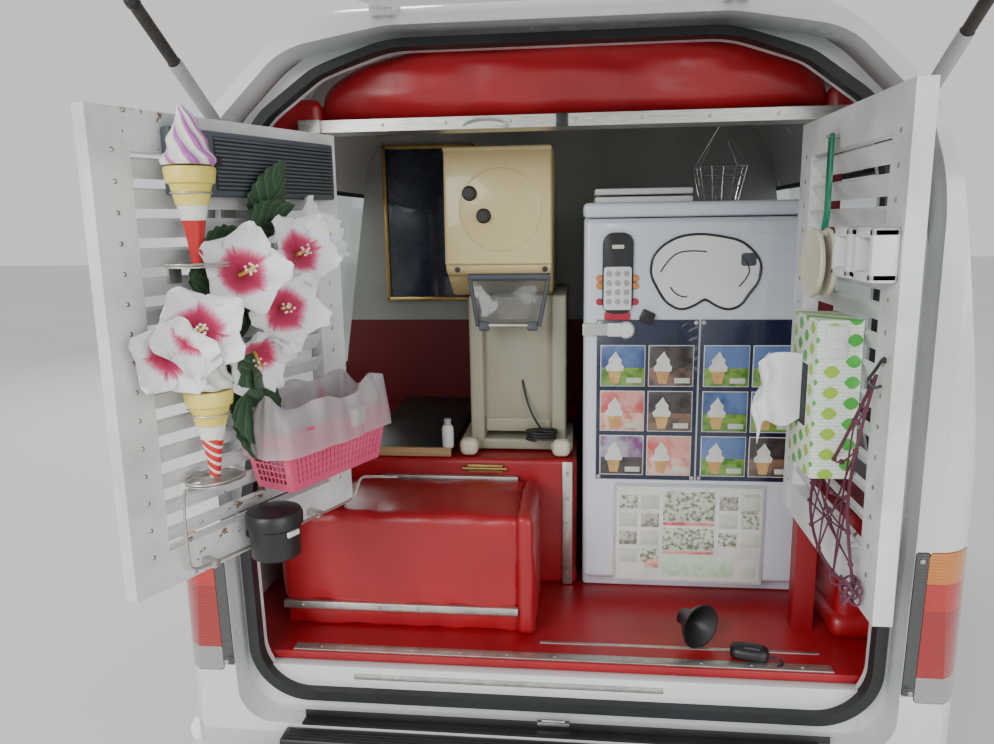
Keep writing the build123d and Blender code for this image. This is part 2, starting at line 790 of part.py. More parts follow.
# Dashboard and steering column
wheel_centre = (320, tail_y + 2700, 1045)
column_tilt = 50
column_axis = (0, sin(radians(column_tilt)), -cos(radians(column_tilt)))
wheel_face = Plane(origin=wheel_centre, x_dir=(1, 0, 0), z_dir=column_axis)
wheel_hub_end = 21
grip_ring_radius = 180
grip_radius = 12
spoke_width = 26
boss_radius = 45
shaft_radius = 18
face_depth = (-4, 8)
with BuildPart() as dashboard:
    with BuildSketch(Plane.YZ.offset(-700)):
        with BuildLine():
            FilletPolyline(
                (tail_y + 2880, 800),
                (tail_y + 2850, 980),
                (tail_y + 2900, 1060),
                (tail_y + 3060, 1050),
                (tail_y + 3140, 800),
                radius=[30, 40, 30, 20, 20],
                close=True,
            )
        make_face()
    extrude(amount=1400)
    add(room_form, mode=Mode.INTERSECT)
    with BuildSketch(wheel_face.offset(wheel_hub_end + fit)):
        Circle(24)
    extrude(amount=240)
save(dashboard.part, "dashboard")
with BuildPart() as steering_wheel:
    with BuildSketch(wheel_face.offset(face_depth[0])):
        Circle(boss_radius)
        with PolarLocations(0, 3):
            with Locations((grip_ring_radius / 2, 0)):
                Rectangle(grip_ring_radius, spoke_width)
    extrude(amount=face_depth[1] - face_depth[0])
    with BuildSketch(wheel_face.offset(face_depth[1])):
        Circle(shaft_radius)
    extrude(amount=wheel_hub_end - face_depth[1])
    with Locations(wheel_face):
        Torus(grip_ring_radius, grip_radius)
save(steering_wheel.part, "steering_wheel")

# Front seats
seat_across = 320
seat_width = 470
with BuildPart() as front_seats:
    for side in (-1, 1):
        with BuildSketch(Plane.YZ.offset(side * seat_across - seat_width / 2)):
            with BuildLine():
                FilletPolyline(
                    (tail_y + 2170, floor_top + fit),
                    (tail_y + 2080, 1000),
                    (tail_y + 2030, 1480),
                    (tail_y + 2100, 1490),
                    (tail_y + 2190, 1020),
                    (tail_y + 2240, 860),
                    (tail_y + 2560, 865),
                    (tail_y + 2540, floor_top + fit),
                    radius=[20, 60, 30, 30, 60, 60, 50, 20],
                    close=True,
                )
            make_face()
        extrude(amount=seat_width)
save(front_seats.part, "front_seats")

# Kiosk fit-out
partition_ahead = 960
with BuildPart() as partition:
    add(block((-800, 800), (partition_ahead, partition_ahead + 18), (floor_top + fit, 2000)))
    add(room_form, mode=Mode.INTERSECT)
save(partition.part, "partition")

bench_top = 945
with BuildPart() as bench_box:
    add(block((-560, -40), (150, 390), (lining_top + fit, bench_top)))
save(bench_box.part, "bench_box")

counter_top = 985
with BuildPart() as counter_block:
    add(block((-600, 42), (395, 955), (lining_top + fit, counter_top)))
save(counter_block.part, "counter_block")

with BuildPart() as corner_box:
    add(block((535, 640), (190, 620), (lining_top + fit, 955)))
    add(room_form, mode=Mode.INTERSECT)
save(corner_box.part, "corner_box")

# Frame that carries the louvred leaves: two posts, the top rail and the posts' halves of the butt hinges
post_width = 40
post_depth = 35
post_gap = 6
pin_radius = 4.5
pin_clearance = 1
leaf_hinge_length = 60
leaf_hinge_heights = (1060, 1570)
plate_thickness = 3
top_rail_ahead = (205, 270)
top_rail_up = (leaf_top + 8, leaf_top + 30)
leaf_rows = (
    (-1, "left", leaf_left_hinge, leaf_left_ahead, leaf_left_width, leaf_left_open),
    (1, "right", leaf_right_hinge, leaf_right_ahead, leaf_right_width, leaf_right_open),
)


def leaf_hinge_half(height, reach, upper, plate=30):
    """Half of a butt hinge about X 0, Y 0, whose plate runs towards reach on the rear face."""
    low = height + fit / 2 if upper else height - leaf_hinge_length / 2
    high = height + leaf_hinge_length / 2 if upper else height - fit / 2
    with BuildPart() as half:
        with BuildSketch(Plane.XY.offset(low)):
            Circle(pin_radius)
            with Locations((reach * (plate / 2 + 2), -plate_thickness / 2)):
                Rectangle(plate, plate_thickness)
        extrude(amount=high - low)
    return half.part


def pin_room(height, upper):
    """Round space that one half of a butt hinge leaves for the other."""
    start = (0, 0, height - (pin_clearance if upper else leaf_hinge_length / 2 + pin_clearance))
    end = (0, 0, height + (leaf_hinge_length / 2 + pin_clearance if upper else pin_clearance))
    return cylinder_between(start, end, pin_radius + pin_clearance)


with BuildPart() as hatch_frame:
    for side, side_name, hinge_across, leaf_ahead, width, open_angle in leaf_rows:
        post_span = sorted((hinge_across + side * post_gap, hinge_across + side * (post_gap + post_width)))
        post_foot = (bench_top if side < 0 else lining_top) + fit
        add(block(post_span, (leaf_ahead, leaf_ahead + post_depth), (post_foot, top_rail_up[1])))
        for height in leaf_hinge_heights:
            half = leaf_hinge_half(height, side, False)
            add(half.moved(Location((hinge_across, tail_y + leaf_ahead, 0))))
    rail_span = (leaf_left_hinge - post_gap - post_width, leaf_right_hinge + post_gap + post_width)
    add(block(rail_span, top_rail_ahead, top_rail_up))
save(hatch_frame.part, "hatch_frame")

with BuildPart() as head_valance:
    add(block((-455, 490), (215, 275), (top_rail_up[1] + fit, 2000)))
    add(lining_form, mode=Mode.INTERSECT)
save(head_valance.part, "head_valance")

# Soft-serve machine
with BuildPart() as soft_serve_machine:
    add(block((-246, -14), (400, 800), (1340, 1663)))
    add(block((-204, 17), (450, 800), (1000, 1341)))
    add(block((-230, 35), (400, 800), (counter_top + fit, 1020)))
save(soft_serve_machine.part, "soft_serve_machine")

# Fridge
fridge_span = (53, 525)
with BuildPart() as fridge_cabinet:
    add(block(fridge_span, (398, 850), (lining_top + fit, 1540)))
save(fridge_cabinet.part, "fridge_cabinet")
with BuildPart() as fridge_door:
    add(block(fridge_span, (350, 397.5), (lining_top + 40, 1508)))
save(fridge_door.part, "fridge_door")


# Louvred leaves
stile = 62
rail = 58
slat_count = 14
slat_depth = 30
slat_thickness = 7
slat_tilt = 35
slat_pitch = (leaf_top - leaf_bottom - 2 * rail) / slat_count


def louvre_leaf(width, side):
    """Leaf shut, hinge edge at X 0 and reaching towards the van's middle, rear face at Y 0."""
    reach = -side
    with BuildPart() as leaf:
        with Locations((reach * width / 2, leaf_thickness / 2, (leaf_bottom + leaf_top) / 2)):
            Box(width, leaf_thickness, leaf_top - leaf_bottom)
            Box(width - 2 * stile, leaf_thickness, leaf_top - leaf_bottom - 2 * rail, mode=Mode.SUBTRACT)
        for index in range(slat_count):
            slat_height = leaf_bottom + rail + slat_pitch * (index + 0.5)
            with BuildSketch(Plane.YZ.offset(min(reach * stile, reach * (width - stile)))):
                with Locations((leaf_thickness / 2, slat_height)):
                    Rectangle(slat_thickness, slat_depth, rotation=-slat_tilt)
            extrude(amount=width - 2 * stile)
        for height in leaf_hinge_heights:
            add(pin_room(height, False), mode=Mode.SUBTRACT)
            add(leaf_hinge_half(height, reach, True))
    return leaf.part


leaf_places = {}
for side, side_name, hinge_across, leaf_ahead, width, open_angle in leaf_rows:
    leaf_places[side_name] = Location((hinge_across, tail_y + leaf_ahead, 0), (0, 0, side * open_angle))
    save(louvre_leaf(width, side).moved(leaf_places[side_name]), "louvre_leaf_" + side_name)

# Gas struts from the rear corners to the gate
eye_back = hinge_ahead - strut_eye_shut[0]
eye_drop = hinge_height - strut_eye_shut[1]
open_sin = sin(radians(gate_open_angle))
open_cos = cos(radians(gate_open_angle))
strut_eye = (
    hinge_ahead - eye_back * open_cos - eye_drop * open_sin,
    hinge_height - eye_drop * open_cos + eye_back * open_sin,
)
for side, side_name in ((-1, "left"), (1, "right")):
    foot = Vector(side * strut_side, tail_y + strut_foot[0], strut_foot[1])
    eye = Vector(side * strut_side, tail_y + strut_eye[0], strut_eye[1])
    direction = (eye - foot).normalized()
    with BuildPart() as cylinder:
        with BuildSketch(Plane(origin=foot, z_dir=direction)):
            Circle(strut_radius)
        extrude(amount=strut_barrel)
        with Locations(foot):
            Sphere(strut_radius)
        bore_start = foot + direction * strut_bore_start
        bore_end = foot + direction * (strut_barrel + 10)
        add(cylinder_between(bore_start, bore_end, strut_rod_radius + fit), mode=Mode.SUBTRACT)
    save(cylinder.part, "strut_cylinder_" + side_name)
    with BuildPart() as rod:
        add(cylinder_between(foot + direction * (strut_barrel - strut_overlap), eye, strut_rod_radius))
        with Locations(eye):
            Sphere(strut_eye_radius)
    save(rod.part, "strut_rod_" + side_name)


def on_left_leaf(part):
    """Carry a piece drawn on the shut left leaf to where the open leaf holds it."""
    return part.moved(leaf_places["left"])


def on_right_leaf(part):
    """Carry a piece drawn on the shut right leaf to where the open leaf holds it."""
    return part.moved(leaf_places["right"])


# Fittings on the left leaf, drawn shut: X from the hinge towards the tip, Y out of the inner face
leaf_face = leaf_thickness + fit
slat_reach = (slat_depth * sin(radians(slat_tilt)) + slat_thickness * cos(radians(slat_tilt))) / 2
slat_face = leaf_thickness / 2 + slat_reach + fit
basket_across = 142
basket_bottom = 1072
basket_top = 1168
basket_wall = 3
with BuildPart() as waste_basket:
    for growth, low in ((0, basket_bottom), (-basket_wall, basket_bottom + basket_wall)):
        with BuildSketch(Plane.XY.offset(low)):
            with Locations((basket_across, leaf_face + 56)):
                RectangleRounded(220 + 2 * growth, 90 + 2 * growth, 14 + growth)
        with BuildSketch(Plane.XY.offset(basket_top)):
            with Locations((basket_across, leaf_face + 62)):
                RectangleRounded(250 + 2 * growth, 116 + 2 * growth, 18 + growth)
        loft(mode=Mode.ADD if growth == 0 else Mode.SUBTRACT)
    with Locations((basket_across, slat_face + 6, basket_top - 24)):
        Box(60, 12, slat_pitch + 2)
save(on_left_leaf(waste_basket.part), "waste_basket")

# Soft-serve display cones, each on its oval tray and bracket
cone_across = 374
cone_stand_off = 40
cone_profile = [(5, 0), (12, 70), (19, 108), (21, 128), (28, 130), (30, 152), (24, 170), (14, 196), (3, 222)]
with BuildPart() as cone_display:
    for cone_foot in (1128, 1450):
        with BuildSketch(Plane.XZ.offset(-(slat_face + cone_stand_off))):
            with BuildLine():
                Polyline(
                    (cone_across, cone_foot),
                    *[(cone_across + radius, cone_foot + height) for radius, height in cone_profile],
                    (cone_across, cone_foot + 222),
                    close=True,
                )
            make_face()
        revolve(axis=Axis((cone_across, slat_face + cone_stand_off, 0), (0, 0, 1)))
        with BuildSketch(Plane.XY.offset(cone_foot - 6)):
            with Locations((cone_across - 4, slat_face + cone_stand_off)):
                SlotOverall(90, 76)
        extrude(amount=7)
        with Locations((cone_across - 4, slat_face + 5, cone_foot + 60)):
            Box(26, 10, 132)
save(on_left_leaf(cone_display.part), "cone_display")

# Bunch of artificial flowers
flower_outline = [
    (335, 1280, 30),
    (335, 1345, 8),
    (400, 1375, 10),
    (400, 1428, 8),
    (314, 1434, 8),
    (290, 1505, 20),
    (110, 1500, 30),
    (120, 1400, 40),
    (200, 1270, 30),
]
with BuildPart() as flower_bunch:
    with BuildSketch(Plane.XZ.offset(-slat_face)):
        add(rounded(flower_outline))
    extrude(amount=-70)
save(on_left_leaf(flower_bunch.part), "flower_bunch")

# Tissue box on the right leaf, drawn shut: X from the hinge towards the tip is negative
with BuildPart() as tissue_box:
    with Locations((-310, slat_face + 32, 1246)):
        Box(118, 64, 232)
save(on_right_leaf(tissue_box.part), "tissue_box")

# Cord net slung below the hook on the right leaf
net_outline = [
    (-445, 1300, 4),
    (-430, 985, 20),
    (-345, 975, 20),
    (-235, 1085, 10),
    (-240, 1112, 8),
    (-385, 1116, 30),
]
with BuildPart() as cord_net:
    with BuildSketch(Plane.XZ.offset(-leaf_face)):
        add(rounded(net_outline))
    extrude(amount=-14)
save(on_right_leaf(cord_net.part), "cord_net")
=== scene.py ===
"""Dresses the kei soft-serve kiosk van for a studio picture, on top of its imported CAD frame."""

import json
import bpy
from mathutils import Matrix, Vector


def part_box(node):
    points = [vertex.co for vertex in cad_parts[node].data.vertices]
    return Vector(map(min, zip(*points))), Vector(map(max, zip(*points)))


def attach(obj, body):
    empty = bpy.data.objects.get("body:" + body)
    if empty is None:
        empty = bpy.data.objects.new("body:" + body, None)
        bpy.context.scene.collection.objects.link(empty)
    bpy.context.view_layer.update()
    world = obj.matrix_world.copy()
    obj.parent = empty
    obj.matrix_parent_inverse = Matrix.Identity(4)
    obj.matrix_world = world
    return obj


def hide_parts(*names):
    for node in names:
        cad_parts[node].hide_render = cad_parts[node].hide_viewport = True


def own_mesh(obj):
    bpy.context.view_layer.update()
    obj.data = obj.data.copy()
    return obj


bl_info = {
    "name": "Kiosk van",
    "version": (1, 0, 0),
    "blender": (4, 5, 0),
    "location": "View3D > Sidebar > Kiosk van",
    "description": "Dresses the kiosk van's solids with finishes, soft goods and small fittings",
    "category": "Object",
}

from math import cos, pi, radians, sin, tau

import bmesh
import bpy
from bpy.props import FloatProperty, FloatVectorProperty, PointerProperty
from mathutils import Matrix, Vector, noise

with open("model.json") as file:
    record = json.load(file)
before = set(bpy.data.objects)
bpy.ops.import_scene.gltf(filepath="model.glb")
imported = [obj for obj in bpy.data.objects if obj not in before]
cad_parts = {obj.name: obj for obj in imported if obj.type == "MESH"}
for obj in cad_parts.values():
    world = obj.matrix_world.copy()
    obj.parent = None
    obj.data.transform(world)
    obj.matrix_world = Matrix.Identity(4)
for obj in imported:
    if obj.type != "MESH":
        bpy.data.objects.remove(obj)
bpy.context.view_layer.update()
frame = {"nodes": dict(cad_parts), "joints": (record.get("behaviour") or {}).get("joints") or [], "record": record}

pins = {joint["name"]: Vector(joint["pos_m"]) for joint in frame["joints"] if "pos_m" in joint}
left_pin = pins["leaf_left_hinge"]
right_pin = pins["leaf_right_hinge"]

# Distances ahead are measured from the tail lamps, and the left leaf's hinge is so far from them
LEFT_HINGE_AHEAD = 0.195
TAIL = left_pin.y - LEFT_HINGE_AHEAD

# Degrees by which each louvre leaf stands open at rest, and the width of each leaf
LEFT_LEAF_OPEN, RIGHT_LEAF_OPEN = 113, 90
LEFT_LEAF_WIDTH, RIGHT_LEAF_WIDTH = 0.49, 0.478

# Half width of the body at its door handles, and a number plate's width, height and corner radius
FLANK = 0.7
PLATE = (0.33, 0.165, 0.012)

# Camera of the photo: place across, ahead and up, turns in degrees, and lens in millimetres
CAMERA_PLACE = (0.045, -1.26, 1.50)
CAMERA_YAW, CAMERA_PITCH, CAMERA_ROLL = 6.2, 10.78, 0.86
CAMERA_LENS = 28.07


# ---------------------------------------------------------------- shapes


def eased(bm, edge, segments):
    """Round off every edge of a shape."""
    if edge:
        bmesh.ops.bevel(
            bm, geom=bm.edges[:], offset=edge, segments=segments, affect="EDGES", profile=0.5, material=-1
        )
    return bm


def block(low, high, edge=0.003, segments=2):
    """Box between two corners, with eased edges."""
    bm = bmesh.new()
    low, high = Vector(low), Vector(high)
    place = Matrix.Translation((low + high) / 2) @ Matrix.Diagonal((*(high - low), 1))
    bmesh.ops.create_cube(bm, size=1, matrix=place)
    return eased(bm, edge, segments)


def turned(profile, steps=48):
    """Body of revolution about Z, from points given as (radius, height)."""
    bm = bmesh.new()
    verts = [bm.verts.new((radius, 0, up)) for radius, up in profile]
    edges = [bm.edges.new(pair) for pair in zip(verts, verts[1:])]
    bmesh.ops.spin(
        bm, geom=verts + edges, cent=(0, 0, 0), axis=(0, 0, 1), angle=tau, steps=steps, use_merge=True
    )
    bmesh.ops.remove_doubles(bm, verts=bm.verts, dist=1e-5)
    bmesh.ops.recalc_face_normals(bm, faces=bm.faces)
    return bm


def prism(outline, thickness, edge=0.0, segments=2):
    """Flat outline given as (across, up), made thick towards +Y."""
    bm = bmesh.new()
    face = bm.faces.new([bm.verts.new((across, 0, up)) for across, up in outline])
    grown = bmesh.ops.extrude_face_region(bm, geom=[face])
    moved = [item for item in grown["geom"] if isinstance(item, bmesh.types.BMVert)]
    bmesh.ops.translate(bm, verts=moved, vec=(0, thickness, 0))
    bmesh.ops.recalc_face_normals(bm, faces=bm.faces)
    return eased(bm, edge, segments)


def dome(radius, height, crown, shoulder, steps):
    """Low round head about Z, which starts to fall at the radius crown and the height shoulder."""
    return turned([(0, height), (crown, shoulder), (radius, 0), (0, 0)], steps=steps)


def rounded(width, height, radius, steps=5, centre=(0, 0)):
    """Outline of a rectangle with round corners."""
    points = []
    corners = ((1, 1, 0), (-1, 1, 90), (-1, -1, 180), (1, -1, 270))
    for side, level, start in corners:
        for step in range(steps + 1):
            angle = radians(start + 90 * step / steps)
            across = side * (width / 2 - radius) + radius * cos(angle)
            up = level * (height / 2 - radius) + radius * sin(angle)
            points.append((centre[0] + across, centre[1] + up))
    return points


def bar(start, end, radius, sides=12):
    """Round bar from one point to another."""
    bm = bmesh.new()
    start, end = Vector(start), Vector(end)
    run = end - start
    turn = Vector((0, 0, 1)).rotation_difference(run).to_matrix().to_4x4()
    place = Matrix.Translation((start + end) / 2) @ turn
    bmesh.ops.create_cone(
        bm, cap_ends=True, segments=sides, radius1=radius, radius2=radius, depth=run.length, matrix=place
    )
    return bm


def round_curve(name, points, radius, resolution=2, closed=False, soft=True, sizes=None):
    """Curve object with a round section along a line of points; sizes scales its radius at each one."""
    curve = bpy.data.curves.new(name, "CURVE")
    curve.dimensions = "3D"
    spline = curve.splines.new("NURBS" if soft else "POLY")
    spline.points.add(len(points) - 1)
    for point, place, size in zip(spline.points, points, sizes or [1] * len(points)):
        point.co = (*place, 1)
        point.radius = size
    spline.order_u = 3
    spline.use_cyclic_u = closed
    spline.use_endpoint_u = not closed
    curve.bevel_depth = radius
    curve.bevel_resolution = resolution
    curve.use_fill_caps = True
    return bpy.data.objects.new(name, curve)


def wire(points, radius, **options):
    """Round wire along a line of points, as a shape."""
    holder = round_curve("wire", points, radius, **options)
    curve = holder.data
    mesh = bpy.data.meshes.new_from_object(holder)
    bm = bmesh.new()
    bm.from_mesh(mesh)
    bpy.data.objects.remove(holder)
    bpy.data.curves.remove(curve)
    bpy.data.meshes.remove(mesh)
    bmesh.ops.remove_doubles(bm, verts=bm.verts, dist=1e-5)
    bmesh.ops.recalc_face_normals(bm, faces=bm.faces)
    return bm


def free_cord(name, points, diameter, finish):
    """Loose cord that stays a curve, along one smooth spline through its control points."""
    cord = round_curve(name, points, diameter / 2, resolution=3)
    cord.data.materials.append(FINISHES[finish])
    bpy.context.scene.collection.objects.link(cord)
    return cord


def circle(centre, radius, count):
    """Points of a level circle."""
    angles = [tau * step / count for step in range(count)]
    return [(centre[0] + radius * cos(a), centre[1] + radius * sin(a), centre[2]) for a in angles]


def join(whole, shape):
    """Move the faces of one shape into another."""
    spare = bpy.data.meshes.new("spare")
    shape.to_mesh(spare)
    shape.free()
    whole.from_mesh(spare)
    bpy.data.meshes.remove(spare)


def moved(bm, *steps):
    """Apply placing matrices to a shape, the last one first."""
    for step in reversed(steps):
        bmesh.ops.transform(bm, matrix=step, verts=bm.verts)
    return bm


def shifted(across, ahead, up):
    """Move a shape."""
    return Matrix.Translation((across, ahead, up))


def spun(angle, axis):
    """Turn a shape about an axis, in degrees."""
    return Matrix.Rotation(radians(angle), 4, axis)


# Each leaf's own frame: X along its width, Y from its rear face to its inner one, LEAF_FACE
left_leaf = shifted(left_pin.x, left_pin.y, 0) @ spun(-LEFT_LEAF_OPEN, "Z")
right_leaf = shifted(right_pin.x, right_pin.y, 0) @ spun(RIGHT_LEAF_OPEN, "Z")
LEAF_FACE = 0.0263


def at(across, ahead, up):
    """Place in the van's frame, with the distance ahead measured from the tail lamps."""
    return shifted(across, TAIL + ahead, up)


def facing_tail(across, ahead, up):
    """Place a shape that looks along +Z so that it looks at whoever stands behind the van."""
    return at(across, ahead, up) @ spun(90, "X")


def spot(across, ahead, up):
    """Point in the van's frame, with the distance ahead measured from the tail lamps."""
    return Vector((across, TAIL + ahead, up))


def add_piece(name, parts, body, replaces=(), place=None, sharp=40):
    """Make one object out of (shape, finish) pairs and hang it on a body of the frame."""
    mesh = bpy.data.meshes.new(name)
    whole = bmesh.new()
    finishes = []
    for shape, finish in parts:
        if finish not in finishes:
            finishes.append(finish)
            mesh.materials.append(FINISHES[finish])
        for face in shape.faces:
            face.material_index = finishes.index(finish)
            face.smooth = True
        join(whole, shape)
    if place is not None:
        bmesh.ops.transform(whole, matrix=place, verts=whole.verts)
    whole.to_mesh(mesh)
    whole.free()
    mesh.set_sharp_from_angle(angle=radians(sharp))
    piece = bpy.data.objects.new(name, mesh)
    bpy.context.scene.collection.objects.link(piece)
    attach(piece, body)
    if replaces:
        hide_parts(*replaces)
    return piece


# ---------------------------------------------------------------- finishes


class Finish:
    """A material being made: one Principled shader fed by patterns on object coordinates."""

    def __init__(self, name, rough=0.5, metal=0.0, coords="Object"):
        self.material = bpy.data.materials.new(name)
        self.material.use_nodes = True
        self.nodes = self.material.node_tree.nodes
        self.links = self.material.node_tree.links
        self.shader = self.nodes["Principled BSDF"]
        self.shader.inputs["Roughness"].default_value = rough
        self.shader.inputs["Metallic"].default_value = metal
        self.coords = self.nodes.new("ShaderNodeTexCoord").outputs[coords]

    def set(self, **values):
        """Set inputs of the shader, with _ for a space in their names."""
        for name, value in values.items():
            self.shader.inputs[name.replace("_", " ")].default_value = value
        return self

    def stretched(self, *scale):
        """Coordinates scaled along each axis."""
        mapping = self.nodes.new("ShaderNodeMapping")
        mapping.inputs["Scale"].default_value = scale
        self.links.new(self.coords, mapping.inputs["Vector"])
        return mapping.outputs["Vector"]

    def noise(self, scale, detail=4.0, rough=0.55, vector=None):
        """Cloudy pattern between 0 and 1."""
        node = self.nodes.new("ShaderNodeTexNoise")
        node.inputs["Scale"].default_value = scale
        node.inputs["Detail"].default_value = detail
        node.inputs["Roughness"].default_value = rough
        self.links.new(vector or self.coords, node.inputs["Vector"])
        return node.outputs["Fac"]

    def cells(self, scale):
        """Distance to the nearest of scattered points."""
        node = self.nodes.new("ShaderNodeTexVoronoi")
        node.inputs["Scale"].default_value = scale
        self.links.new(self.coords, node.inputs["Vector"])
        return node.outputs["Distance"]

    def axis(self, letter):
        """One coordinate."""
        node = self.nodes.new("ShaderNodeSeparateXYZ")
        self.links.new(self.coords, node.inputs["Vector"])
        return node.outputs[letter]

    def math(self, operation, first, second=0.0):
        """One step of arithmetic on sockets or numbers."""
        node = self.nodes.new("ShaderNodeMath")
        node.operation = operation
        for socket, value in zip(node.inputs, (first, second)):
            if isinstance(value, (int, float)):
                socket.default_value = value
            else:
                self.links.new(value, socket)
        return node.outputs["Value"]

    def plus(self, first, second):
        return self.math("ADD", first, second)

    def minus(self, first, second):
        return self.math("SUBTRACT", first, second)

    def times(self, first, second):
        return self.math("MULTIPLY", first, second)

    def ramp(self, factor, *stops, step=False):
        """Colour ramp with stops given as (place, colour)."""
        node = self.nodes.new("ShaderNodeValToRGB")
        node.color_ramp.interpolation = "CONSTANT" if step else "LINEAR"
        elements = node.color_ramp.elements
        while len(elements) < len(stops):
            elements.new(0.5)
        for element, (place, colour) in zip(elements, stops):
            element.position = place
            grey = isinstance(colour, (int, float))
            element.color = (colour, colour, colour, 1) if grey else (*colour, 1)
        self.links.new(factor, node.inputs["Fac"])
        return node.outputs["Color"]

    def mix(self, factor, first, second):
        """Blend of two colours or colour sockets."""
        node = self.nodes.new("ShaderNodeMix")
        node.data_type = "RGBA"
        self.links.new(factor, node.inputs["Factor"])
        for name, value in (("A", first), ("B", second)):
            socket = next(s for s in node.inputs if s.name == name and s.type == "RGBA")
            if isinstance(value, tuple):
                socket.default_value = (*value, 1)
            else:
                self.links.new(value, socket)
        return next(s for s in node.outputs if s.type == "RGBA")

    def colour(self, socket):
        """Feed the shader's base colour."""
        self.links.new(socket, self.shader.inputs["Base Color"])
        return self

    def rough(self, factor, low, high):
        """Let the roughness drift between two values."""
        node = self.nodes.new("ShaderNodeMapRange")
        node.inputs["To Min"].default_value = low
        node.inputs["To Max"].default_value = high
        self.links.new(factor, node.inputs["Value"])
        self.links.new(node.outputs["Result"], self.shader.inputs["Roughness"])
        return self

    def bump(self, height, strength=0.2, depth=0.001):
        """Add relief on top of what is there."""
        node = self.nodes.new("ShaderNodeBump")
        node.inputs["Strength"].default_value = strength
        node.inputs["Distance"].default_value = depth
        self.links.new(height, node.inputs["Height"])
        previous = self.shader.inputs["Normal"]
        if previous.is_linked:
            self.links.new(previous.links[0].from_socket, node.inputs["Normal"])
        self.links.new(node.outputs["Normal"], previous)
        return self


def mottled(
    name, colour, shade, rough=(0.35, 0.55), scale=6.0, grain=260.0, strength=0.12, metal=0.0, **sockets
):
    """Plain finish whose colour drifts between two tones, with a fine grain."""
    finish = Finish(name, metal=metal)
    drift = finish.noise(scale)
    finish.colour(finish.ramp(drift, (0.35, shade), (0.65, colour)))
    finish.rough(finish.noise(scale * 4), *rough)
    finish.bump(finish.noise(grain, detail=2), strength, 0.0006)
    finish.set(**sockets)
    return finish.material


def car_paint(name, colour, shade):
    """Old gloss paint with a thin film of road dust towards the ground."""
    finish = Finish(name)
    height = finish.axis("Z")
    film = finish.times(finish.noise(3.5, detail=8), finish.minus(1.15, height))
    base = finish.ramp(finish.noise(2.2), (0.3, shade), (0.7, colour))
    finish.colour(finish.mix(finish.ramp(film, (0.25, 0.0), (0.75, 0.55)), base, (0.33, 0.29, 0.24)))
    finish.rough(finish.noise(9, detail=6), 0.16, 0.34)
    finish.bump(finish.noise(420, detail=1), 0.04, 0.0004)
    finish.set(Coat_Weight=0.6, Coat_Roughness=0.08)
    return finish.material


def vinyl(name, colour, shade):
    """Upholstery vinyl: fine pebble grain, soft folds and a dull sheen."""
    finish = Finish(name)
    finish.colour(finish.ramp(finish.noise(5, detail=6), (0.3, shade), (0.7, colour)))
    finish.rough(finish.noise(24), 0.3, 0.46)
    finish.bump(finish.cells(900), 0.18, 0.0004)
    finish.bump(finish.noise(7, detail=3), 0.25, 0.006)
    finish.set(Coat_Weight=0.18, Coat_Roughness=0.3)
    return finish.material


def brushed_metal(name, colour, stretch=(4, 90, 90), rough=(0.28, 0.5)):
    """Bare metal with a long grain and dull spots."""
    finish = Finish(name, metal=0.9)
    grain = finish.noise(9, detail=8, vector=finish.stretched(*stretch))
    spots = finish.noise(40, detail=5)
    darker = tuple(0.62 * part for part in colour)
    finish.colour(finish.ramp(finish.times(grain, spots), (0.12, darker), (0.36, colour)))
    finish.rough(grain, *rough)
    finish.bump(grain, 0.08, 0.0004)
    return finish.material


def chipped_paint(name):
    """Thick white brush paint on wood, chipped to brown at some edges."""
    finish = Finish(name)
    dirt = finish.noise(7, detail=8)
    white = finish.ramp(dirt, (0.3, (0.5, 0.51, 0.5)), (0.62, (0.74, 0.76, 0.76)))
    flakes = finish.noise(38, detail=9, rough=0.7)
    patches = finish.noise(3.1, detail=2)
    chips = finish.times(flakes, patches)
    finish.colour(finish.mix(finish.ramp(chips, (0.375, 0.0), (0.39, 1.0)), white, (0.2, 0.11, 0.06)))
    finish.rough(finish.noise(20), 0.35, 0.6)
    finish.bump(finish.ramp(chips, (0.37, 1.0), (0.395, 0.0)), 0.5, 0.0008)
    finish.bump(finish.noise(90, vector=finish.stretched(1, 1, 0.12)), 0.12, 0.0008)
    return finish.material


def ink_glass(name, colour, clear=0.85):
    """Clear or tinted glass with a trace of dust."""
    finish = Finish(name, rough=0.04)
    finish.colour(finish.ramp(finish.noise(5), (0.3, tuple(0.9 * c for c in colour)), (0.7, colour)))
    finish.rough(finish.noise(12, detail=7), 0.02, 0.09)
    finish.set(Transmission_Weight=clear, IOR=1.45)
    return finish.material


def lamp_lens(name):
    """Tail lamp: clear foot, red body, amber top, ribbed, beside its dark trim."""
    finish = Finish(name)
    lens_foot, lens_height, trim_edge, rib_density = 0.69, 0.275, 0.6122, 1100
    up = finish.math("DIVIDE", finish.minus(finish.axis("Z"), lens_foot), lens_height)
    lens = finish.ramp(
        up, (0.0, (0.32, 0.33, 0.31)), (0.17, (0.35, 0.012, 0.012)), (0.62, (0.5, 0.02, 0.015)),
        (0.8, (0.62, 0.2, 0.02)), step=True,
    )
    across = finish.math("ABSOLUTE", finish.axis("X"))
    trim = finish.math("LESS_THAN", across, trim_edge)
    finish.colour(finish.mix(trim, lens, (0.05, 0.055, 0.055)))
    ribs = finish.math("SINE", finish.times(finish.axis("Z"), rib_density))
    finish.bump(ribs, 0.35, 0.001)
    finish.rough(finish.noise(30), 0.08, 0.22)
    finish.set(Coat_Weight=0.8, Coat_Roughness=0.05, Transmission_Weight=0.15)
    return finish.material


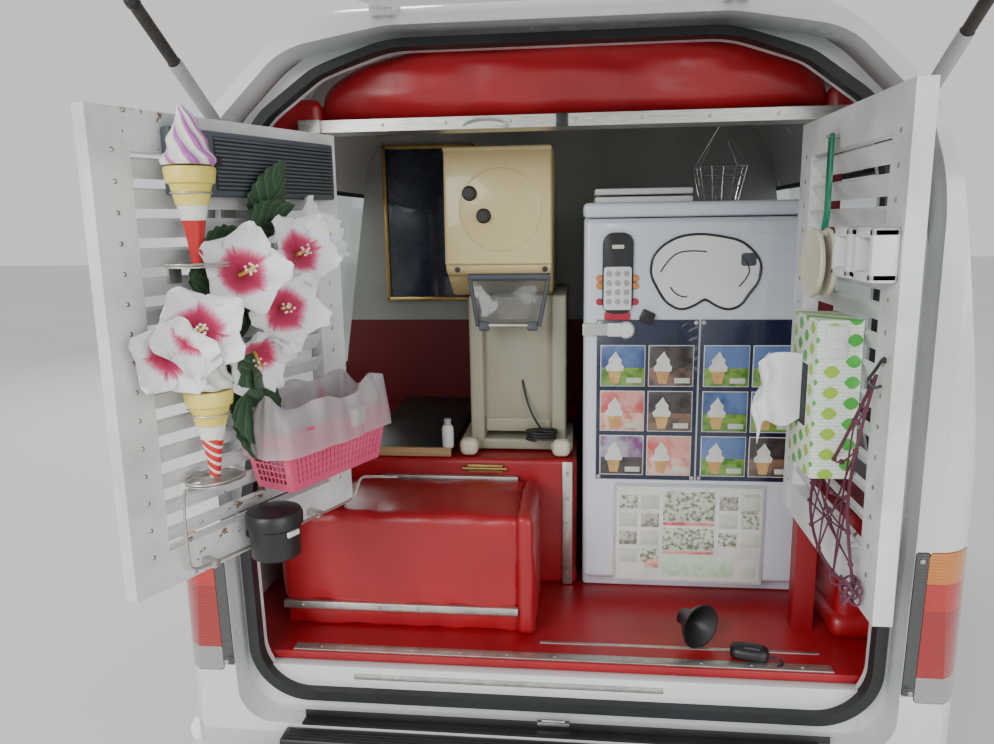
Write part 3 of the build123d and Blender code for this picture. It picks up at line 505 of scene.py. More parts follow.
def headlamp_lens(name):
    """Fluted headlamp glass in front of a bright bowl."""
    finish = Finish(name, metal=0.55)
    finish.colour(finish.ramp(finish.noise(8), (0.3, (0.62, 0.65, 0.68)), (0.7, (0.8, 0.83, 0.85))))
    finish.bump(finish.math("SINE", finish.times(finish.axis("X"), 620)), 0.5, 0.002)
    finish.rough(finish.noise(30), 0.06, 0.16)
    finish.set(Coat_Weight=1.0, Coat_Roughness=0.03)
    return finish.material


def clad_frame(name):
    """Hatch frame: red vinyl round its posts, bare aluminium on its rail."""
    finish = Finish(name)
    rail_foot = 1.672
    rail = finish.math("GREATER_THAN", finish.axis("Z"), rail_foot)
    grain = finish.noise(9, detail=8, vector=finish.stretched(4, 90, 90))
    metal = finish.ramp(grain, (0.3, (0.4, 0.4, 0.37)), (0.6, (0.66, 0.65, 0.6)))
    finish.colour(finish.mix(rail, RED_SHADE, metal))
    finish.links.new(rail, finish.shader.inputs["Metallic"])
    finish.bump(finish.noise(260), 0.1, 0.0005)
    finish.rough(grain, 0.3, 0.45)
    return finish.material


def partition_board(name):
    """Grey board above, red vinyl below the counter line."""
    finish = Finish(name)
    grey = finish.ramp(finish.noise(6, detail=6), (0.3, (0.33, 0.33, 0.31)), (0.7, (0.42, 0.42, 0.395)))
    counter_line = 1.23
    low = finish.math("LESS_THAN", finish.axis("Z"), counter_line)
    finish.colour(finish.mix(low, grey, (0.17, 0.008, 0.012)))
    finish.rough(finish.noise(14), 0.42, 0.65)
    finish.bump(finish.noise(190), 0.12, 0.0006)
    return finish.material


def tread_rubber(name):
    """Dull tyre rubber with a trace of road dust."""
    finish = Finish(name)
    finish.colour(
        finish.ramp(finish.noise(26, detail=7), (0.35, (0.012, 0.012, 0.012)), (0.7, (0.045, 0.042, 0.038)))
    )
    finish.rough(finish.noise(50), 0.6, 0.85)
    finish.bump(finish.noise(500, detail=2), 0.25, 0.0006)
    return finish.material


def petal_cloth(name):
    """White petal with a deep pink throat that bleeds outward along the veins."""
    finish = Finish(name, rough=0.75, coords="UV")
    run = finish.axis("X")
    veins = finish.noise(9, detail=3, vector=finish.stretched(0.6, 7, 1))
    reach = finish.plus(run, finish.times(finish.minus(veins, 0.5), 0.35))
    finish.colour(
        finish.ramp(
            reach, (0.05, (0.33, 0.005, 0.03)), (0.36, (0.52, 0.02, 0.1)), (0.46, (0.75, 0.2, 0.32)),
            (0.54, (0.84, 0.83, 0.86)),
        )
    )
    finish.bump(veins, 0.4, 0.0015)
    finish.set(Sheen_Weight=0.25, Subsurface_Weight=0.12)
    return finish.material


def leaf_cloth(name):
    """Green cloth leaf with slanting veins."""
    finish = Finish(name, rough=0.6, coords="UV")
    side = finish.math("ABSOLUTE", finish.minus(finish.axis("Y"), 0.5))
    slant = finish.plus(finish.times(side, 26), finish.times(finish.axis("X"), -30))
    veins = finish.math("SINE", slant)
    tone = finish.ramp(finish.noise(3), (0.3, (0.008, 0.035, 0.012)), (0.7, (0.02, 0.075, 0.025)))
    finish.colour(finish.mix(finish.ramp(veins, (0.86, 0.0), (0.98, 0.5)), tone, (0.1, 0.2, 0.07)))
    finish.bump(veins, 0.3, 0.001)
    finish.set(Sheen_Weight=0.2)
    return finish.material


def clear_sheet(name, colour, clear, rough):
    """Thin clear plastic with shallow waves."""
    finish = Finish(name, rough=rough)
    finish.colour(finish.ramp(finish.noise(30), (0.3, tuple(0.92 * c for c in colour)), (0.7, colour)))
    finish.bump(finish.noise(45, detail=3), 0.15, 0.001)
    finish.set(Transmission_Weight=clear, IOR=1.4)
    return finish.material


def picture_tone(name, low, high, size=30.0):
    """Printed picture: soft blotches between two tones."""
    finish = Finish(name, rough=0.25)
    blotch = finish.noise(size, detail=3)
    finish.colour(finish.ramp(blotch, (0.38, low), (0.56, high)))
    finish.set(Coat_Weight=0.5, Coat_Roughness=0.15)
    return finish.material


def wood_grain(name, colour, shade):
    """Plain wood with a long grain."""
    finish = Finish(name, rough=0.5)
    grain = finish.noise(5, detail=8, vector=finish.stretched(2, 40, 40))
    finish.colour(finish.ramp(grain, (0.35, shade), (0.65, colour)))
    finish.bump(grain, 0.2, 0.0006)
    return finish.material


def leafy_card(name):
    """White card with fine green stripes and rows of pointed green shapes."""
    finish = Finish(name, rough=0.4)
    up = finish.axis("Z")
    side = finish.plus(finish.axis("X"), finish.axis("Y"))
    stripes = finish.math("SINE", finish.times(up, 1150))
    ground = finish.mix(
        finish.ramp(stripes, (0.25, 0.0), (0.6, 0.45)), (0.78, 0.8, 0.76), (0.3, 0.62, 0.22)
    )
    # Rows of lens shapes: a sine each way, with every second column set half a step up
    column = finish.times(side, 34)
    shift = finish.times(finish.math("FLOORED_MODULO", finish.math("FLOOR", column), 2), 0.5)
    across = finish.math("ABSOLUTE", finish.minus(finish.math("FRACT", column), 0.5))
    rise = finish.math("FRACT", finish.plus(finish.times(up, 33), shift))
    tall = finish.math("ABSOLUTE", finish.minus(rise, 0.5))
    bow = finish.times(finish.times(across, across), 1.9)
    inside = finish.math("LESS_THAN", finish.plus(tall, bow), 0.3)
    green = finish.ramp(
        finish.math("FRACT", finish.times(finish.math("FLOOR", column), 0.37)),
        (0.0, (0.06, 0.42, 0.05)), (0.5, (0.32, 0.55, 0.05)), step=True,
    )
    finish.colour(finish.mix(inside, ground, green))
    finish.bump(finish.noise(300), 0.08, 0.0004)
    return finish.material


def striped_cone(name, low, high, pitch):
    """Slanting stripes that wind round a cone's foot."""
    finish = Finish(name, rough=0.3)
    slant = finish.plus(finish.times(finish.axis("Z"), pitch), finish.times(finish.axis("X"), pitch * 0.8))
    finish.colour(finish.ramp(finish.math("SINE", slant), (0.45, low), (0.55, high)))
    return finish.material


def two_creams(name, first, second):
    """Two soft-serve flavours that follow the ridges of a swirl."""
    finish = Finish(name, rough=0.4, coords="UV")
    phase = finish.plus(finish.times(finish.axis("X"), 7 * tau), finish.times(finish.axis("Y"), 13))
    side = finish.math("SINE", finish.times(finish.axis("X"), tau))
    blend = finish.plus(finish.times(finish.math("SINE", phase), 0.6), finish.times(side, 0.5))
    finish.colour(finish.ramp(blend, (0.3, first), (0.62, second)))
    finish.set(Subsurface_Weight=0.1)
    return finish.material


RED = (0.37, 0.008, 0.014)
RED_SHADE = (0.25, 0.004, 0.009)

FINISHES = {
    "body_paint": car_paint("old_white_paint", (0.7, 0.71, 0.71), (0.6, 0.615, 0.62)),
    "bumper_paint": car_paint("bumper_white", (0.62, 0.64, 0.66), (0.53, 0.55, 0.575)),
    "dark_glass": ink_glass("smoked_glass", (0.06, 0.07, 0.07), 0.72),
    "clear_glass": ink_glass("clear_glass", (0.75, 0.82, 0.8), 0.95),
    "lamp_glass": headlamp_lens("headlamp_lens"),
    "lamp_red": lamp_lens("tail_lamp_lens"),
    "tyre_black": tread_rubber("tyre_rubber"),
    "rim_silver": mottled("wheel_silver", (0.5, 0.5, 0.5), (0.4, 0.4, 0.4), rough=(0.28, 0.42), metal=0.6),
    "black_rubber": mottled(
        "seal_rubber", (0.018, 0.02, 0.022), (0.01, 0.011, 0.012), rough=(0.45, 0.7), grain=600
    ),
    "black_steel": mottled(
        "chassis_black", (0.025, 0.025, 0.025), (0.05, 0.04, 0.034), rough=(0.5, 0.8), scale=9
    ),
    "rod_chrome": brushed_metal("strut_chrome", (0.72, 0.72, 0.72), rough=(0.1, 0.25)),
    "cab_plastic": mottled(
        "cab_plastic", (0.055, 0.057, 0.06), (0.04, 0.04, 0.043), rough=(0.5, 0.7), grain=900, strength=0.25
    ),
    "wall_grey": partition_board("partition_board"),
    "red_vinyl": vinyl("red_vinyl", RED, RED_SHADE),
    "bare_aluminium": brushed_metal("dull_aluminium", (0.66, 0.65, 0.6)),
    "louvre_paint": chipped_paint("chipped_louvre_paint"),
    "cream_enamel": mottled(
        "cream_enamel", (0.66, 0.55, 0.27), (0.58, 0.475, 0.225), rough=(0.28, 0.45), scale=3, grain=700,
        Coat_Weight=0.3,
    ),
    "fridge_white": mottled(
        "fridge_white", (0.68, 0.72, 0.79), (0.62, 0.66, 0.735), rough=(0.2, 0.34), scale=2.5, grain=500,
        strength=0.06, Coat_Weight=0.35,
    ),
    "seat_cloth": mottled(
        "seat_cloth", (0.1, 0.105, 0.115), (0.07, 0.073, 0.08), rough=(0.8, 0.95), grain=1200, strength=0.5,
        Sheen_Weight=0.3,
    ),
    "engine_iron": mottled(
        "engine_iron", (0.09, 0.085, 0.08), (0.16, 0.12, 0.09), rough=(0.5, 0.8), metal=0.5
    ),
    "exhaust_steel": mottled(
        "exhaust_steel", (0.2, 0.17, 0.15), (0.32, 0.24, 0.18), rough=(0.4, 0.75), metal=0.6
    ),
    "pink_plastic": mottled(
        "pink_plastic", (0.72, 0.1, 0.2), (0.62, 0.07, 0.16), rough=(0.32, 0.5), scale=8,
        Subsurface_Weight=0.08,
    ),
    "net_cord": mottled(
        "net_cord", (0.1, 0.018, 0.04), (0.16, 0.06, 0.1), rough=(0.7, 0.9), grain=1500, strength=0.6
    ),
    "printed_card": mottled("plain_card", (0.7, 0.72, 0.68), (0.64, 0.66, 0.62), rough=(0.5, 0.7)),
    "display_plastic": mottled("display_plastic", (0.7, 0.68, 0.6), (0.6, 0.58, 0.5), rough=(0.3, 0.4)),
    "petal_cloth": petal_cloth("petal_cloth"),
    "black_plastic": mottled(
        "black_plastic", (0.02, 0.02, 0.022), (0.012, 0.012, 0.013), rough=(0.3, 0.5), grain=700
    ),
    "grey_plastic": mottled(
        "grey_plastic", (0.075, 0.088, 0.105), (0.06, 0.07, 0.084), rough=(0.4, 0.6), grain=700
    ),
    "white_plastic": mottled("white_plastic", (0.76, 0.77, 0.76), (0.7, 0.71, 0.7), rough=(0.3, 0.45)),
    "ivory_plastic": mottled("ivory_plastic", (0.72, 0.68, 0.52), (0.64, 0.6, 0.44), rough=(0.3, 0.45)),
    "screw_steel": brushed_metal("screw_steel", (0.6, 0.6, 0.58), stretch=(30, 30, 30)),
    "grey_trim": mottled("light_grey_plastic", (0.4, 0.41, 0.41), (0.33, 0.34, 0.34), rough=(0.35, 0.5)),
    "brass": brushed_metal("old_brass", (0.5, 0.34, 0.12), stretch=(30, 30, 30)),
    "smoke_flap": clear_sheet("smoke_flap", (0.62, 0.64, 0.66), 0.93, 0.05),
    "clear_edge": clear_sheet("clear_film", (0.85, 0.88, 0.88), 0.5, 0.15),
    "bag_film": clear_sheet("bag_film", (0.9, 0.86, 0.88), 0.72, 0.3),
    "machine_grey": mottled(
        "machine_grey", (0.4, 0.385, 0.28), (0.34, 0.325, 0.235), rough=(0.3, 0.45), scale=3
    ),
    "navy_board": mottled(
        "navy_board", (0.012, 0.02, 0.055), (0.008, 0.013, 0.036), rough=(0.2, 0.35), Coat_Weight=0.4
    ),
    "dark_board": mottled("dark_board", (0.035, 0.03, 0.028), (0.02, 0.018, 0.017), rough=(0.35, 0.6)),
    "pale_wood": wood_grain("pale_wood", (0.5, 0.34, 0.18), (0.36, 0.22, 0.1)),
    "card_brown": picture_tone("picture_brown", (0.06, 0.045, 0.04), (0.22, 0.13, 0.09), 24),
    "card_rose": picture_tone("picture_rose", (0.6, 0.1, 0.09), (0.72, 0.34, 0.3), 22),
    "card_violet": picture_tone("picture_violet", (0.2, 0.06, 0.2), (0.4, 0.38, 0.46), 22),
    "card_moss": picture_tone("picture_moss", (0.16, 0.22, 0.13), (0.62, 0.66, 0.55), 120),
    "card_mint": picture_tone("picture_mint", (0.42, 0.62, 0.42), (0.55, 0.7, 0.52), 60),
    "card_drab": picture_tone("picture_drab", (0.2, 0.2, 0.16), (0.5, 0.5, 0.42), 110),
    "card_sky": picture_tone("picture_sky", (0.03, 0.06, 0.2), (0.12, 0.2, 0.42), 9),
    "card_field": picture_tone("picture_field", (0.07, 0.2, 0.02), (0.2, 0.36, 0.05), 50),
    "card_dark": picture_tone("picture_dark", (0.03, 0.026, 0.026), (0.075, 0.06, 0.055), 30),
    "card_pale": picture_tone("picture_pale", (0.62, 0.22, 0.16), (0.75, 0.5, 0.42), 60),
    "card_cream": picture_tone("picture_cream", (0.6, 0.58, 0.5), (0.5, 0.6, 0.5), 40),
    "printed_sheet": picture_tone("printed_sheet", (0.62, 0.66, 0.6), (0.74, 0.74, 0.7), 26),
    "wafer": mottled("wafer", (0.66, 0.42, 0.16), (0.5, 0.28, 0.1), scale=60),
    "whipped_white": mottled(
        "whipped_white", (0.8, 0.78, 0.74), (0.72, 0.68, 0.62), rough=(0.3, 0.45), scale=30,
        Subsurface_Weight=0.1,
    ),
    "dial_orange": mottled("dial_orange", (0.72, 0.27, 0.05), (0.6, 0.2, 0.04)),
    "dial_red": mottled("dial_red", (0.5, 0.02, 0.05), (0.36, 0.012, 0.035)),
    "cone_yellow": mottled(
        "cone_yellow", (0.78, 0.66, 0.16), (0.7, 0.55, 0.1), rough=(0.3, 0.45), scale=25,
        Subsurface_Weight=0.08,
    ),
    "cone_red": mottled("cone_red", (0.55, 0.02, 0.02), (0.45, 0.012, 0.015), rough=(0.25, 0.4)),
    "leaf_green": leaf_cloth("leaf_green"),
    "handle_green": mottled("handle_green", (0.012, 0.24, 0.13), (0.008, 0.17, 0.09), rough=(0.25, 0.4)),
    "soft_tissue": mottled(
        "soft_tissue", (0.8, 0.8, 0.82), (0.74, 0.74, 0.77), rough=(0.85, 0.95), grain=300, strength=0.3
    ),
    "amber_lens": mottled(
        "amber_lens", (0.7, 0.2, 0.01), (0.6, 0.15, 0.008), rough=(0.1, 0.2), Coat_Weight=0.6
    ),
    "mirror_silver": mottled(
        "mirror_silver", (0.75, 0.76, 0.77), (0.7, 0.71, 0.72), rough=(0.03, 0.06), metal=1.0
    ),
    "leafy_card": leafy_card("leafy_card"),
    "swirl_violet": two_creams("violet_and_white", (0.78, 0.76, 0.72), (0.42, 0.13, 0.42)),
    "swirl_white": two_creams("white_and_cream", (0.8, 0.79, 0.77), (0.68, 0.66, 0.6)),
    "candy_stripe": striped_cone("candy_stripe", (0.6, 0.02, 0.02), (0.78, 0.76, 0.72), 420),
}


class KioskVanLook(bpy.types.PropertyGroup):
    """Sizes and light that a user may change before dressing the van."""

    floor_size: FloatProperty(
        name="Floor", description="Width of the studio floor", default=60.0, unit="LENGTH"
    )
    key_power: FloatProperty(
        name="Key light", description="Power of the key light", default=210.0, subtype="POWER"
    )
    floor_colour: FloatVectorProperty(
        name="Floor colour", description="Colour of the studio floor", default=(0.7, 0.69, 0.66),
        subtype="COLOR"
    )


class KIOSK_OT_finishes(bpy.types.Operator):
    """Give every solid of the frame the finish that its material slot asks for"""

    bl_idname = "kiosk.finishes"
    bl_label = "Finishes"

    def execute(self, context):
        names = {part["node"]: part["material_slot"] for part in frame["record"]["subparts"]}
        for name, node in frame["nodes"].items():
            node.material_slots[0].material = FINISHES[names[name]]
        for name in ("side_windows", "windscreen", "door_glass_left", "door_glass_right"):
            frame["nodes"][name].material_slots[0].material = FINISHES["clear_glass"]
        frame["nodes"]["floor_pan"].material_slots[0].material = FINISHES["black_steel"]
        frame["nodes"]["hatch_frame"].material_slots[0].material = clad_frame("hatch_frame_cladding")
        return {"FINISHED"}


class KIOSK_OT_stage(bpy.types.Operator):
    """Lay the studio floor and set the lights and the camera"""

    bl_idname = "kiosk.stage"
    bl_label = "Stage"

    def execute(self, context):
        look = context.scene.kiosk_van
        floor_finish = Finish("studio_floor", rough=0.7)
        shade = tuple(0.94 * part for part in look.floor_colour)
        floor_finish.colour(
            floor_finish.ramp(floor_finish.noise(0.6), (0.3, shade), (0.7, tuple(look.floor_colour)))
        )
        bm = bmesh.new()
        bmesh.ops.create_grid(bm, x_segments=1, y_segments=1, size=look.floor_size / 2)
        mesh = bpy.data.meshes.new("studio_floor")
        bm.to_mesh(mesh)
        bm.free()
        mesh.materials.append(floor_finish.material)
        floor = bpy.data.objects.new("studio_floor", mesh)
        context.scene.collection.objects.link(floor)

        world = bpy.data.worlds.new("studio_air")
        world.use_nodes = True
        world.node_tree.nodes["Background"].inputs["Color"].default_value = (0.93, 0.95, 0.98, 1)
        world.node_tree.nodes["Background"].inputs["Strength"].default_value = 0.88
        context.scene.world = world

        lamps = (
            # name, place, target, size, power
            ("key_light", (-2.6, -5.4, 3.4), (0, -0.7, 1.2), 3.0, look.key_power),
            ("fill_light", (3.2, -4.6, 2.2), (0, -0.7, 1.1), 3.0, look.key_power * 0.5),
            ("front_light", (-3.0, 5.5, 4.5), (0, 1.0, 0.9), 3.5, look.key_power * 0.9),
        )
        for name, place, target, size, power in lamps:
            light = bpy.data.lights.new(name, "AREA")
            light.shape = "DISK"
            light.size = size
            light.energy = power
            lamp = bpy.data.objects.new(name, light)
            aim = Vector(target) - Vector(place)
            lamp.matrix_world = Matrix.Translation(place) @ aim.to_track_quat("-Z", "Y").to_matrix().to_4x4()
            context.scene.collection.objects.link(lamp)

        yaw, pitch, roll = radians(CAMERA_YAW), radians(CAMERA_PITCH), radians(CAMERA_ROLL)
        forward = Vector((-sin(yaw) * cos(pitch), cos(yaw) * cos(pitch), -sin(pitch)))
        level = Vector((cos(yaw), sin(yaw), 0))
        upright = level.cross(forward)
        right = cos(roll) * level - sin(roll) * upright
        up = sin(roll) * level + cos(roll) * upright
        camera = bpy.data.objects.new("camera", bpy.data.cameras.new("camera"))
        camera.data.sensor_width = 36
        camera.data.lens = CAMERA_LENS
        camera.data.clip_start = 0.02
        turn = Matrix((right, up, -forward)).transposed().to_4x4()
        camera.matrix_world = at(*CAMERA_PLACE) @ turn
        context.scene.collection.objects.link(camera)
        context.scene.camera = camera
        return {"FINISHED"}


# ---------------------------------------------------------------- upholstery and joinery


# How closely the small gathers of a pad follow each other
RIPPLE_SCALE = 26.0


def plump(bm, low, high, swell, ripple, firm):
    """Swell a box-shaped pad away from its edges; firm names the sides that stay flat, such as '-z'."""
    low, high = Vector(low), Vector(high)
    middle, half = (low + high) / 2, (high - low) / 2
    for vert in bm.verts:
        away = [(vert.co[i] - middle[i]) / half[i] for i in range(3)]
        shift = Vector((0, 0, 0))
        for i in range(3):
            others = [1 - min(1, abs(away[j])) ** 4 for j in range(3) if j != i]
            side = ("+" if away[i] > 0 else "-") + "xyz"[i]
            if side not in firm and abs(away[i]) > 0.8:
                crown = others[0] * others[1]
                crease = ripple * noise.noise(vert.co * RIPPLE_SCALE) * (1.4 - crown)
                shift[i] += (swell * crown + crease) * (1 if away[i] > 0 else -1)
        vert.co += shift
    return bm


def pad(low, high, radius, swell, ripple=0.0, firm=(), cells=26):
    """Upholstered block: round corners, crowned sides and small gathers near its edges."""
    bm = block(low, high, edge=radius, segments=4)
    longest = max(b - a for a, b in zip(low, high))
    for axis in range(3):
        count = max(2, int(cells * (high[axis] - low[axis]) / longest))
        for step in range(1, count):
            normal, origin = Vector(), Vector()
            normal[axis] = 1
            origin[axis] = low[axis] + (high[axis] - low[axis]) * step / count
            geometry = bm.verts[:] + bm.edges[:] + bm.faces[:]
            bmesh.ops.bisect_plane(bm, geom=geometry, plane_co=origin, plane_no=normal, dist=1e-6)
    return plump(bm, low, high, swell, ripple, firm)


def strip_screws(start, end, count, lift, radius=0.0035):
    """Row of round screw heads along a strip, each with its finish."""
    start, end = Vector(start), Vector(end)
    heads = []
    turn = Vector((0, 0, 1)).rotation_difference(Vector(lift)).to_matrix().to_4x4()
    for step in range(count):
        place = start.lerp(end, (step + 0.5) / count)
        head = dome(radius, 0.0016, radius * 0.7, 0.0012, 10)
        heads.append((moved(head, Matrix.Translation(place) @ turn), "screw_steel"))
    return heads


class KIOSK_OT_upholstery(bpy.types.Operator):
    """Build the red vinyl pads, boxes and strips of the kiosk's fit-out"""

    bl_idname = "kiosk.upholstery"
    bl_label = "Upholstery"

    def execute(self, context):
        red, metal = "red_vinyl", "bare_aluminium"

        # Rear bench: one padded block with a rolled end and a metal lip at its foot
        low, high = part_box("bench_box")
        bench = pad(
            low + Vector((0.004, 0.012, 0.05)), high - Vector((0.03, 0.006, 0.006)), 0.016, 0.007, 0.004
        )
        skirt = pad(
            low + Vector((0.004, 0.026, 0.001)), Vector((high.x - 0.03, high.y - 0.01, low.z + 0.052)),
            0.006, 0.002, 0.004,
        )
        roll_low = Vector((high.x - 0.036, low.y + 0.006, low.z + 0.004))
        roll_high = Vector((high.x - 0.001, high.y - 0.008, high.z - 0.002))
        roll = pad(roll_low, roll_high, 0.013, 0.003, 0.003)
        piece = add_piece(
            "bench_pad", [(bench, red), (skirt, red), (roll, red)], "chassis", ["bench_box"]
        )
        lip_low = Vector((low.x + 0.006, low.y + 0.002, low.z + 0.046))
        lip = block(lip_low, Vector((high.x - 0.034, low.y + 0.014, low.z + 0.062)), 0.002)
        ledge_low = Vector((low.x + 0.16, high.y - 0.012, high.z - 0.012))
        ledge = block(ledge_low, Vector((high.x - 0.05, high.y + 0.004, high.z + 0.004)), 0.002)
        heads = strip_screws(
            (lip_low.x, lip_low.y, lip_low.z + 0.008), (high.x - 0.034, lip_low.y, lip_low.z + 0.008), 6,
            (0, -1, 0)
        )
        add_piece("bench_trims", [(lip, metal), (ledge, metal), *heads], "chassis")

        # Counter block under the machine, with an aluminium angle at its corner
        low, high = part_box("counter_block")
        counter = pad(
            low + Vector((0, 0.003, 0)), high - Vector((0.003, 0, 0.001)), 0.01, 0.002, 0.002,
            firm=("-z", "+z", "+y"),
        )
        piece = add_piece("counter_pad", [(counter, red)], "chassis", ["counter_block"])
        x = high.x - 0.034
        angle = block((x, low.y - 0.003, low.z + 0.002), (x + 0.022, low.y + 0.002, high.z - 0.004), 0.0012)
        heads = strip_screws(
            (x + 0.011, low.y - 0.003, low.z), (x + 0.011, low.y - 0.003, high.z), 5, (0, -1, 0)
        )
        latch_x, front = -0.165, low.y - 0.006
        latch = block(
            (latch_x - 0.04, front, high.z - 0.03), (latch_x + 0.04, low.y + 0.002, high.z - 0.012), 0.002
        )
        bolt = bar((latch_x - 0.05, front, high.z - 0.021), (latch_x + 0.05, front, high.z - 0.021), 0.004)
        parts = [(angle, metal)] + heads + [(latch, "brass"), (bolt, "brass")]
        add_piece("counter_trims", parts, "chassis")

        # Corner box over the right wheel arch, on a rounded plinth
        low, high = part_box("corner_box")
        box = pad(
            low + Vector((0.012, 0.014, 0)), high - Vector((0, 0, 0.002)), 0.02, 0.003, 0.003, firm=("-z",)
        )
        plinth = pad(
            low + Vector((0.001, 0.002, 0.001)), Vector((high.x, high.y - 0.002, low.z + 0.05)), 0.02,
            0.002, 0.004,
        )
        piece = add_piece("corner_pad", [(box, red), (plinth, red)], "chassis", ["corner_box"])

        # Sill and seam strips on the floor
        low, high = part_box("floor_lining")
        sill = block(
            (-0.508, low.y + 0.001, high.z - 0.0005), (0.508, low.y + 0.024, high.z + 0.0025), 0.001
        )
        seam = block((-0.03, low.y + 0.062, high.z - 0.0005), (0.5, low.y + 0.070, high.z + 0.0012), 0.0005)
        heads = strip_screws(
            (-0.5, low.y + 0.012, high.z + 0.0025), (0.5, low.y + 0.012, high.z + 0.0025), 11, (0, 0, 1)
        )
        add_piece("floor_strips", [(sill, metal), (seam, metal)] + heads, "chassis")

        # Red edge turned down over the sill, the painted plate under it and its short strip
        floor_top = high.z
        fold = block(
            spot(-0.566, 0.0705, floor_top - 0.016), spot(0.566, 0.0765, floor_top + 0.0004), 0.002
        )
        plate = block(spot(-0.545, 0.05, 0.6), spot(0.545, 0.074, floor_top - 0.016), 0.003)
        strip = block(spot(-0.38, 0.046, 0.651), spot(0.2, 0.0505, 0.661), 0.001)
        heads = strip_screws(spot(-0.36, 0.046, 0.656), spot(0.18, 0.046, 0.656), 5, (0, -1, 0), 0.0028)
        dressed = [(fold, red), (plate, "body_paint"), (strip, metal)] + heads
        add_piece("sill_dressing", dressed, "chassis")

        # Screws, a clip and a bent hook on the rail over the hatch
        rail_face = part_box("head_valance")[0].z - 0.011
        heads = strip_screws(spot(-0.38, 0.205, rail_face), spot(0.45, 0.205, rail_face), 7, (0, -1, 0))
        clip = block(spot(0.0, 0.2, rail_face - 0.012), spot(0.022, 0.206, rail_face + 0.012), 0.002)
        bends = (
            (-0.17, 0.204, -0.006), (-0.155, 0.196, 0.006), (-0.1, 0.194, 0.004), (-0.085, 0.196, -0.01),
            (-0.1, 0.2, -0.012),
        )
        hook = wire([spot(across, ahead, rail_face + rise) for across, ahead, rise in bends], 0.0018)
        dressed = heads + [(clip, "black_plastic"), (hook, "screw_steel")]
        add_piece("rail_fittings", dressed, "chassis")

        # Small pads that fill the top corners beside the valance
        parts = []
        for side, inner, outer in ((-1, 0.45, 0.548), (1, 0.485, 0.55)):
            across = sorted((side * inner, side * outer))
            shape = pad(
                spot(across[0], 0.232, 1.668), spot(across[1], 0.262, 1.735), 0.012, 0.004, 0.003, cells=8
            )
            parts.append((shape, red))
        piece = add_piece("corner_paddings", parts, "chassis")
        return {"FINISHED"}


class KIOSK_OT_valance(bpy.types.Operator):
    """Build the puffed red valance under the roof"""

    bl_idname = "kiosk.valance"
    bl_label = "Valance"

    def execute(self, context):
        low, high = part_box("head_valance")
        centre_x = (low.x + high.x) / 2
        half = (high.x - low.x) / 2
        columns, rows = 72, 22
        squareness = 3.2
        bm = bmesh.new()
        bmesh.ops.create_grid(bm, x_segments=columns, y_segments=rows, size=1)
        for vert in bm.verts:
            u, v = vert.co.x, (vert.co.y + 1) / 2
            arch = (1 - abs(u) ** squareness) ** 0.5 if abs(u) < 1 else 0
            top = low.z + 0.02 + (high.z - low.z - 0.022) * arch
            bottom = low.z + 0.002
            up = bottom + (top - bottom) * v
            rim = min(1 - abs(u), 0.18) / 0.18
            crown = (max(0, 1 - (2 * v - 1) ** 2) ** 0.5) * (max(0, 1 - (1 - rim) ** 2) ** 0.5)
            place = Vector((centre_x + u * half * 0.995, 0, up))
            gather = 0.004 * noise.noise(Vector((place.x * 60, 0, place.z * 9))) * (1.3 - crown)
            gather += 0.006 * noise.noise(Vector((place.x * 9, 3, place.z * 26))) * (0.3 + crown)
            vert.co = place + Vector((0, high.y - 0.016 - (high.y - low.y - 0.02) * crown + gather, 0))
        back = bmesh.ops.extrude_face_region(bm, geom=bm.faces[:])
        verts = [item for item in back["geom"] if isinstance(item, bmesh.types.BMVert)]
        for vert in verts:
            vert.co.y = high.y - 0.002
        bmesh.ops.recalc_face_normals(bm, faces=bm.faces)
        edge_line = []
        for step in range(25):
            u = -0.999 + 1.998 * step / 24
            rise = (high.z - low.z - 0.024) * (1 - abs(u) ** squareness) ** 0.5
            edge_line.append((centre_x + half * 0.985 * u, high.y - 0.014, low.z + 0.02 + rise))
        piping = wire(edge_line, 0.0035)
        red = "red_vinyl"
        piece = add_piece(
            "valance_pad", [(bm, red), (piping, red)], "chassis", ["head_valance"], sharp=60
        )
        return {"FINISHED"}


# ---------------------------------------------------------------- soft-serve machine and fridge


def arc_points(centre, radius, start, end, steps):
    """Points (across, up) along an arc between two angles in degrees."""
    angles = [radians(start + (end - start) * step / steps) for step in range(steps + 1)]
    return [(centre[0] + radius * cos(angle), centre[1] + radius * sin(angle)) for angle in angles]


